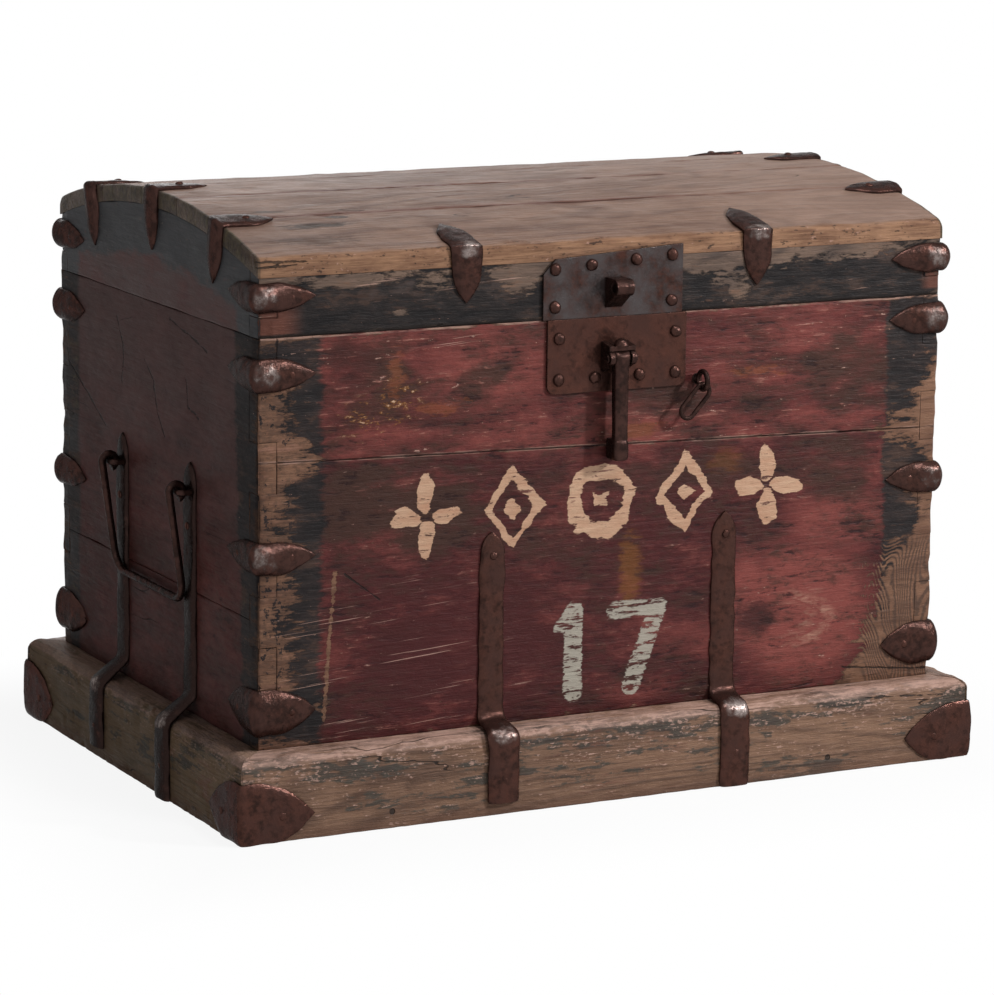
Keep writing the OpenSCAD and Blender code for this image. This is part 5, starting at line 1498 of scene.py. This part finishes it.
# Angle from upright at which a long strap crosses the ledge, in degrees
FALL_LONG_SIDE, FALL_END = 14, 38
# Heights and widths of the three straps on each corner of the box, from the top down
CORNER_HEIGHTS = {
    -1: (JOINT_Z - 0.040, BASE_H + 0.212, BASE_H + 0.041),
    1: (JOINT_Z - 0.027, BASE_H + 0.238, BASE_H + 0.041),
}
CORNER_WIDTHS = (0.036, 0.036, 0.050)
# How bright each of them is polished, which is partly a painted highlight
CORNER_POLISH_HIGHLIGHT = (0.64, 0.64, 0.30)
LID_CORNER_Z, LID_CORNER_W = JOINT_Z + 0.044, 0.033
PLATE_Z, PLATE_LEN, PLATE_W = 0.030, 0.086, 0.076
# Straps that stand proud of the base frame keep inside the chest's size
BASE_STRAP_MOST = 0.0062
# The lid's bent straps: leaf down the front, leaf down the ends, leaf over the top, width and places
FRONT_LEAF, END_LEAF, TOP_LEAF, BENT_W = 0.061, 0.069, 0.066, 0.037
FRONT_STRAP_X = 0.183
END_STRAP_APART, END_STRAP_SHIFT = 0.184, 0.004
BENT_STRAIGHT = 0.35
# How far they stand at most, and how far they bulge on the top
BENT_MOST, BENT_TOP_CROWN = 0.0078, 0.0011
# Thickness of the corner straps
CORNER_T = 0.0035
# Radius of the handles' bars
BAR_R = 0.0045
BOTH = (-1, 1)


class CHEST_OT_long_straps(ChestOperator, bpy.types.Operator):
    """Make the long straps that step out over the base frame"""

    bl_idname = "chest.long_straps"
    bl_label = "Long straps"

    def execute(self, context):
        for n, wall in enumerate(SIDES):
            is_long = wall in LONG_SIDES
            for beside, where in enumerate(("left", "right") if is_long else ("front", "back")):
                node = f"{wall}_strap_{where}"
                fall = math.radians(FALL_LONG_SIDE if is_long else FALL_END)
                solid = self.long_strap(node, wall, fall, context.scene.chest_sizes, 70 + 10 * n + 5 * beside)
                # The straps on the ends take a darker copy of the iron: painted shade for the chest's shaded
                # ends
                material = iron("strap" if is_long else "dark")
                place(f"{wall}_forged_strap_{where}", [solid], node, material)
        return {"FINISHED"}

    def long_strap(self, node, wall, fall, sizes, seed):
        """The strap follows the wall down, bends out on an arc, falls straight over the ledge, rounds
        the rail's edge on a second arc and runs down the rail. Its width comes to a point at the top
        and grows from the neck to the foot."""
        low, high = corners(node)
        across, ahead, _, outer = wall_axes(wall)
        middle = (low + high) @ across / 2
        top, bottom = high[2], low[2]
        edge_r, back_r = RAIL_ROUND + SEAT, STRAP_BEND + STRAP_T
        edge = np.array([LEDGE - RAIL_ROUND, BASE_H - RAIL_ROUND])
        touch = edge + edge_r * np.array([math.sin(fall), math.cos(fall)])
        bend_z = touch[1] + (back_r - (back_r - touch[0]) * math.sin(fall)) / math.cos(fall)
        bend = np.array([back_r, bend_z])

        def arc(centre, radius, first, last, count):
            a = np.linspace(first, last, count)
            return centre + radius * np.stack([np.cos(a), np.sin(a)], -1)

        tip = top - LONG_TIP * (1 - np.cos(np.linspace(0, np.pi / 2, 14)))
        wall_z = np.concatenate([tip, np.linspace(top - LONG_TIP, bend_z, 40)[1:]])
        down = np.stack([np.zeros_like(wall_z), wall_z], -1)
        outline = np.concatenate([
            down, arc(bend, back_r, np.pi, 1.5 * np.pi - fall, 10)[1:],
            arc(edge, edge_r, np.pi / 2 - fall, 0, 12),
            np.stack([np.full(24, LEDGE + SEAT), np.linspace(edge[1], bottom + 0.0006, 25)[1:]], -1),
        ])
        step = np.gradient(outline, axis=0)
        step /= np.linalg.norm(step, axis=1, keepdims=True)
        normal = np.stack([-step[:, 1], step[:, 0]], -1)
        z = outline[:, 1]
        pointed = leaf_half_width(z - top + LONG_TIP, LONG_TIP, LONG_W, 0.0)
        half = np.where(z > top - LONG_TIP, pointed, LONG_W / 2)
        neck, hip = BASE_H + 2 * STRAP_BEND, BASE_H - RAIL_ROUND / 2
        half = np.where(z < neck, LONG_W / 2 + FOOT_FLARE * np.clip((neck - z) / (neck - hip), 0, 1), half)
        foot = np.clip((z - bottom) / STRAP_T, 0, 1)
        half = half * (0.86 + 0.14 * np.sqrt(foot * (2 - foot)))
        centres = middle * across + (outer + outline[:, :1]) * ahead + z[:, None] * Z
        out = normal[:, :1] * ahead + normal[:, 1:] * Z
        crown = sizes.crown * np.interp(z, [bottom, BASE_H, BASE_H + 0.05, top], [0.40, 0.45, 0.30, 0.35])
        return strap(centres, across, out, -half, half, STRAP_T, crown, seed, 2.0, BASE_STRAP_MOST)


def corner_strap(side, end, z, width, crown, seed, knuckle=0.0, rubbed=0.64, corner=(HALF_W, HALF_D),
                 leaves=(0.068, 0.078), straight=0.25, floor=None, most=0.012):
    """A strap round a vertical corner: a leaf along the front or back, an arc of small radius round
    the corner, and a leaf along the end. side and end are -1 or 1 along x and y. The crown fades
    towards the points, and beside the corner the strap swells by its knuckle, as a bell curve. It is
    polished bright only where it faces front or back, a polish that is partly a painted highlight, and
    nothing of it is lower than its floor."""
    bend_r, count = 0.0016, 9
    (half_x, half_y), (len_x, len_y) = corner, leaves
    xs, ys = along_leaf(len_x, straight * len_x), along_leaf(len_y, straight * len_y)
    xs, ys = xs[xs >= bend_r * 1.2], ys[ys >= bend_r * 1.2]
    xs = xs[::-1]
    a = np.linspace(0, np.pi / 2, count)
    flat = np.concatenate([
        np.stack([half_x - xs, np.full_like(xs, half_y)], -1),
        np.stack([half_x - bend_r + bend_r * np.sin(a), half_y - bend_r + bend_r * np.cos(a)], -1),
        np.stack([np.full_like(ys, half_x), half_y - ys], -1),
    ])
    normal = np.concatenate([np.tile([0.0, 1.0], (len(xs), 1)), np.stack([np.sin(a), np.cos(a)], -1),
                             np.tile([1.0, 0.0], (len(ys), 1))])
    half = np.concatenate([leaf_half_width(xs, len_x, width, straight * len_x), np.full(count, width / 2),
                           leaf_half_width(ys, len_y, width, straight * len_y)])
    away = np.concatenate([xs / len_x, np.zeros(count), ys / len_y])
    beside = np.concatenate([xs, np.zeros(count), ys])
    crown = crown * (1 - 0.45 * away) + knuckle * np.exp(-((beside / 0.019) ** 2))
    centres = np.stack([side * flat[:, 0], end * flat[:, 1], np.full(len(flat), z)], -1)
    out = np.stack([side * normal[:, 0], end * normal[:, 1], np.zeros(len(flat))], -1)
    low = -half if floor is None else np.maximum(-half, floor - z)
    # Polished bright only on the leaves that face front or back: a painted highlight, partly polish
    rubbed = rubbed * np.clip(1.6 * np.abs(normal[:, 1:]) - 0.2, 0, 1)
    return strap(centres, Z, out, low, half, CORNER_T, crown, seed, 2.1, most, rubbed, 0.023)


class CHEST_OT_corner_straps(ChestOperator, bpy.types.Operator):
    """Make the corner straps of the box and the plates at its foot"""

    bl_idname = "chest.corner_straps"
    bl_label = "Corner straps"

    def execute(self, context):
        sizes = context.scene.chest_sizes
        for side, hand in zip(BOTH, ("left", "right")):
            for end, face in zip(BOTH, ("front", "back")):
                rows = zip((130, 140, 150), CORNER_HEIGHTS[side], CORNER_WIDTHS, CORNER_POLISH_HIGHLIGHT)
                solids = [
                    corner_strap(side, end, z, width, sizes.crown, seed + side + 2 * end, sizes.knuckle, polish_highlight)
                    for seed, z, width, polish_highlight in rows
                ]
                node = f"corner_straps_{face}_{hand}"
                place(f"forged_corner_{face}_{hand}", solids, node, iron("leaf"))
        plates = [
            corner_strap(side, end, PLATE_Z, PLATE_W, sizes.plate_crown, 190 + side + 2 * end, rubbed=0.0,
                         corner=(BASE_HALF_W, BASE_HALF_D), leaves=(PLATE_LEN, PLATE_LEN), straight=0.12,
                         floor=0.0008, most=BASE_STRAP_MOST)
            for side in BOTH for end in BOTH
        ]
        place("forged_base_plates", plates, "base_corner_plates", iron("strap"))
        return {"FINISHED"}


class CHEST_OT_lid_straps(ChestOperator, bpy.types.Operator):
    """Make the straps of the lid"""

    bl_idname = "chest.lid_straps"
    bl_label = "Lid straps"

    def execute(self, context):
        sizes = context.scene.chest_sizes
        at_corners = [
            corner_strap(side, end, LID_CORNER_Z, LID_CORNER_W, sizes.crown, 210 + side + 2 * end,
                         sizes.knuckle)
            for side in BOTH for end in BOTH
        ]
        front_straps = [self.front_strap(side, sizes) for side in BOTH]
        end_straps = [self.end_strap(side, n, sizes) for side in BOTH for n in (-1, 0, 1)]
        for name, node, solids in (("corners", "lid_corner_straps", at_corners),
                                   ("front_straps", "lid_front_straps", front_straps),
                                   ("end_straps", "lid_end_straps", end_straps)):
            place("forged_lid_" + name, solids, node, iron("leaf"))
        return {"FINISHED"}

    def bent(self, down, edge, across, wall, up, inward, sizes, seed):
        """A strap over an edge: a leaf down the wall, a quarter turn, and a leaf over the top. up is
        the top's own direction out at the edge, and inward the way of its leaf. On the wall it has a
        ridge, and on the top it is nearly flat."""
        over, count = TOP_LEAF, 8
        ds, os_ = (along_leaf(length, BENT_STRAIGHT * length)[1:] for length in (down, over))
        ds = ds[::-1]
        a = np.linspace(0, np.pi / 2, count)
        below = -np.cross(across, wall)
        below = below if below @ up < 0 else -below
        centres = np.concatenate([edge + ds[:, None] * below, np.tile(edge, (count, 1)),
                                  self.top_path(edge, os_, inward)])
        out = np.concatenate([
            np.tile(wall, (len(ds), 1)),
            np.cos(a)[:, None] * wall + np.sin(a)[:, None] * up,
            self.top_normals(edge, os_, inward, up),
        ])
        half = np.concatenate([leaf_half_width(ds, down, BENT_W, BENT_STRAIGHT * down),
                               np.full(count, BENT_W / 2),
                               leaf_half_width(os_, over, BENT_W, BENT_STRAIGHT * over)])
        on_wall = np.concatenate([np.ones(len(ds)), np.cos(a), np.zeros(len(os_))])
        crown = sizes.ridge * on_wall + BENT_TOP_CROWN * (1 - on_wall)
        # The front straps get more polished brightness than the end straps, which is partly a painted
        # highlight
        ridge, rubbed = 2.0 - 0.75 * on_wall, 0.25 + 0.55 * abs(wall[1])
        return strap(centres, across, out, -half, half, STRAP_T * 0.8, crown, seed, ridge, BENT_MOST, rubbed)

    def top_path(self, edge, distance, inward):
        """Points over the top: along X they keep their height, along Y they follow the arch."""
        points = edge + distance[:, None] * inward
        if abs(inward[1]) > 0.5:
            points[:, 2] = arch_height(points[:, 1]) + SEAT
        return points

    def top_normals(self, edge, distance, inward, up):
        """Directions out of the top at those points."""
        if abs(inward[1]) < 0.5:
            return np.tile(up, (len(distance), 1))
        lean = np.arcsin((edge + distance[:, None] * inward)[:, 1] / ARCH_R)
        return np.stack([np.zeros_like(lean), np.sin(lean), np.cos(lean)], -1)

    def front_strap(self, side, sizes):
        edge = np.array([side * FRONT_STRAP_X, -HALF_D, EDGE_Z])
        lean = math.asin(-HALF_D / ARCH_R)
        up = np.array([0, math.sin(lean), math.cos(lean)])
        return self.bent(FRONT_LEAF, edge, X, -Y, up, Y, sizes, 230 + side)

    def end_strap(self, side, n, sizes):
        y = n * END_STRAP_APART + END_STRAP_SHIFT
        lean = math.asin(y / ARCH_R)
        up = np.array([0, math.sin(lean), math.cos(lean)])
        tangent = np.array([0, math.cos(lean), -math.sin(lean)])
        edge = np.array([side * HALF_W, y, arch_height(y)]) + up * SEAT
        return self.bent(END_LEAF, edge, tangent, side * X, up, -side * X, sizes, 240 + 4 * n + side)


class CHEST_OT_nails(ChestOperator, bpy.types.Operator):
    """Make the nail heads, each where the frame has its own"""

    bl_idname = "chest.nails"
    bl_label = "Nail heads"

    def execute(self, context):
        for node, raised, kind in (("box_strap_nails", 0.0008, "strap"), ("lid_strap_nails", 0.0, "strap"),
                                   ("lock_nails_lower", 0.0, "nail"), ("lock_nails_upper", 0.0, "nail")):
            solids = []
            for n, points in enumerate(self.heads(node)):
                seat, way, diameter, height = self.measure(points)
                lift = raised if abs(way[2]) < 0.5 and seat[2] > BASE_H else 0
                solids.append(nail_head(seat + lift * way, way, diameter, height, 300 + n))
            place(node.replace("nails", "nail_heads"), solids, node, iron(kind), 60)
        return {"FINISHED"}

    def heads(self, node):
        """The points of each separate head of a CAD node. Points that share a place within a head's
        own size belong together."""
        head_size = 0.0165
        mesh = frame["nodes"][node].data
        points = np.zeros(len(mesh.vertices) * 3, np.float32)
        mesh.vertices.foreach_get("co", points)
        points = points.reshape(-1, 3)
        left = np.ones(len(points), bool)
        groups = []
        while left.any():
            first = points[left][0]
            near = left & (np.linalg.norm(points - first, axis=1) < head_size)
            groups.append(points[near].astype(float))
            left &= ~near
        return groups

    def measure(self, points):
        """Centre of the seat, direction out, diameter and height. The flattest of the three main
        directions is the way out, and it points away from the chest."""
        middle = points.mean(0)
        way = np.linalg.svd(points - middle)[2][2]
        flat = (points - middle) @ way
        if np.abs(flat.max()) < np.abs(flat.min()):
            way, flat = -way, -flat
        seat = middle + flat.min() * way
        across = np.linalg.norm((points - seat) - ((points - seat) @ way)[:, None] * way, axis=1).max()
        rim = points[flat < flat.min() + 0.0002].mean(0)
        return rim, way, 2 * across, flat.max() - flat.min()


class CHEST_OT_lock(ChestOperator, bpy.types.Operator):
    """Finish the lock plates, the bracket and its pin, the lug and the ring, and make the hasp"""

    bl_idname = "chest.lock"
    bl_label = "Lock and hasp"

    def execute(self, context):
        cover_node("lock_plate_upper", iron("plate_upper"))
        cover_node("lock_plate_lower", iron("plate_lower"))
        for node in ("hasp_bracket", "hasp_pin", "lock_lug", "ring_eye", "ring_link"):
            cover_node(node, iron("bar"))
        place("forged_hasp", [self.hasp()], "hasp", iron("bar"), 50)
        return {"FINISHED"}

    def hasp(self):
        """Sections of a rounded square, the sine and cosine raised to a power, carried down the hasp:
        a round knuckle, a slightly waisted shank and a foot that reaches to the wall. Heights are
        measured from the pin."""
        knuckle, foot_z, foot_back, squareness = 0.008, -0.0922, 0.0180, 0.55
        low, high = corners("hasp")
        pin_z, pin_y = high[2] - knuckle, low[1] + knuckle
        z = np.concatenate([knuckle * np.cos(np.linspace(0.05, np.pi / 2, 12)),
                            np.linspace(-0.004, -0.0915, 30), np.linspace(-0.0925, -0.1138, 18),
                            [-0.1145, -0.1149]])
        half_w = np.interp(
            z, [-0.115, -0.1135, -0.106, -0.0945, -0.0925, -0.084, -0.05, -0.012, -0.006, 0.008],
            [0.0078, 0.0096, 0.0100, 0.0097, 0.0088, 0.0083, 0.0086, 0.0088, 0.0098, 0.0098])
        ahead = np.interp(z, [-0.115, -0.112, -0.0945, -0.0925, -0.05, -0.010, 0.0],
                          [0.0062, 0.0078, 0.0078, 0.0062, 0.0056, 0.0059, 0.0079])
        ahead = np.where(z > 0, np.sqrt(np.maximum(knuckle**2 - z**2, 1e-8)), ahead)
        back = np.where(z > 0, ahead, np.interp(z, [foot_z, 0], [0.0058, 0.0079]))
        back = np.where(z < foot_z, foot_back, back)
        a = np.linspace(0, 2 * np.pi, 40, endpoint=False)
        cos, sin = (np.sign(way) * np.abs(way) ** squareness for way in (np.cos(a), np.sin(a)))
        x = half_w[:, None] * cos
        y = pin_y + (back - ahead)[:, None] / 2 + ((back + ahead) / 2)[:, None] * sin
        points = np.stack([x, y, np.broadcast_to((pin_z + z)[:, None], x.shape)], -1)
        points[..., 0] += unevenness(points, 0.03, 401) * 0.0001
        points[..., 1] += unevenness(points, 0.018, 402) * 0.0001
        return tube(points)


class CHEST_OT_handles(ChestOperator, bpy.types.Operator):
    """Make the swinging handles and finish their staples"""

    bl_idname = "chest.handles"
    bl_label = "Handles"

    def execute(self, context):
        for side, sign in zip(("left", "right"), BOTH):
            cover_node(side + "_handle_staples", iron("bar"))
            bar = bar_along(self.path(sign), BAR_R, 420 + sign)
            place("forged_handle_" + side, [bar], side + "_handle", iron("bar"), 60)
        return {"FINISHED"}

    def path(self, sign):
        """Middle line of a handle: a curl round one staple, an arm, a bend, the grip, and the same
        again. It is drawn flat, leant against the straps, and stood beside the end of the chest."""
        # Half the handle's width, its height, the radius of its bends and of its curls, how far out the
        # grip lies, and the room at the end of the curl
        half, drop, bend, eye, reach, room = 0.0995, 0.126, 0.024, 0.0083, 0.0091, 0.0008
        swing = ("left" if sign < 0 else "right") + "_handle_swing"
        pivot = np.array(next(joint for joint in frame["joints"] if joint["name"] == swing)["pos_m"])
        lean = math.atan2(eye, drop) + math.asin(reach / math.hypot(eye, drop))
        curl = math.pi + math.acos((2 * BAR_R + room) / eye - 1)
        a = np.linspace(curl, 0, 40)
        b = np.linspace(0, np.pi / 2, 14)
        arm = np.linspace(0, -drop + bend, 24)[1:]
        right = np.concatenate([
            np.stack([np.full_like(a, half), eye * np.sin(a), eye * np.cos(a)], -1),
            np.stack([np.full_like(arm, half), arm, np.full_like(arm, eye)], -1),
            np.stack([half - bend + bend * np.cos(b), bend - drop - bend * np.sin(b),
                      np.full_like(b, eye)], -1)[1:],
            np.stack([np.linspace(half - bend, 0, 16)[1:], np.full(15, -drop), np.full(15, eye)], -1),
        ])
        whole = np.concatenate([right, right[-2::-1] * [-1, 1, 1]])
        up = whole[:, 1] * math.cos(lean) - whole[:, 2] * math.sin(lean)
        out = whole[:, 1] * math.sin(lean) + whole[:, 2] * math.cos(lean)
        return np.stack([pivot[0] + sign * out, pivot[1] + whole[:, 0], pivot[2] + up], -1)


class CHEST_OT_hinges(ChestOperator, bpy.types.Operator):
    """Finish the hinges at the back"""

    bl_idname = "chest.hinges"
    bl_label = "Hinges"

    def execute(self, context):
        for side in ("left", "right"):
            for part in ("leaf_box", "leaf_lid", "pin"):
                cover_node(f"hinge_{part}_{side}", iron("hinge"))
        return {"FINISHED"}


STEPS = (
    CHEST_OT_stage, CHEST_OT_walls, CHEST_OT_lid_boards, CHEST_OT_lid_top, CHEST_OT_base,
    CHEST_OT_long_straps, CHEST_OT_corner_straps, CHEST_OT_lid_straps, CHEST_OT_nails,
    CHEST_OT_lock, CHEST_OT_handles, CHEST_OT_hinges,
)


class CHEST_PT_panel(bpy.types.Panel):
    """Lists the chest's sizes, colours and steps"""

    bl_label = "Iron-bound chest"
    bl_idname = "CHEST_PT_panel"
    bl_space_type = "VIEW_3D"
    bl_region_type = "UI"
    bl_category = "Chest"

    def draw(self, context):
        for group in (context.scene.chest_sizes, context.scene.chest_colours):
            box = self.layout.box()
            for name in group.bl_rna.properties.keys():
                if name not in ("rna_type", "name"):
                    box.prop(group, name)
        for step in STEPS:
            self.layout.operator(step.bl_idname)


CLASSES = (ChestColours, ChestSizes, *STEPS, CHEST_PT_panel)


def register():
    for cls in CLASSES:
        bpy.utils.register_class(cls)
    bpy.types.Scene.chest_colours = PointerProperty(type=ChestColours)
    bpy.types.Scene.chest_sizes = PointerProperty(type=ChestSizes)


def unregister():
    del bpy.types.Scene.chest_sizes
    del bpy.types.Scene.chest_colours
    for cls in reversed(CLASSES):
        bpy.utils.unregister_class(cls)


def main():
    register()
    for step in STEPS:
        group, name = step.bl_idname.split(".")
        if getattr(getattr(bpy.ops, group), name)() != {"FINISHED"}:
            raise RuntimeError(step.bl_idname + " didn't finish")


if __name__ == "__main__":
    main()
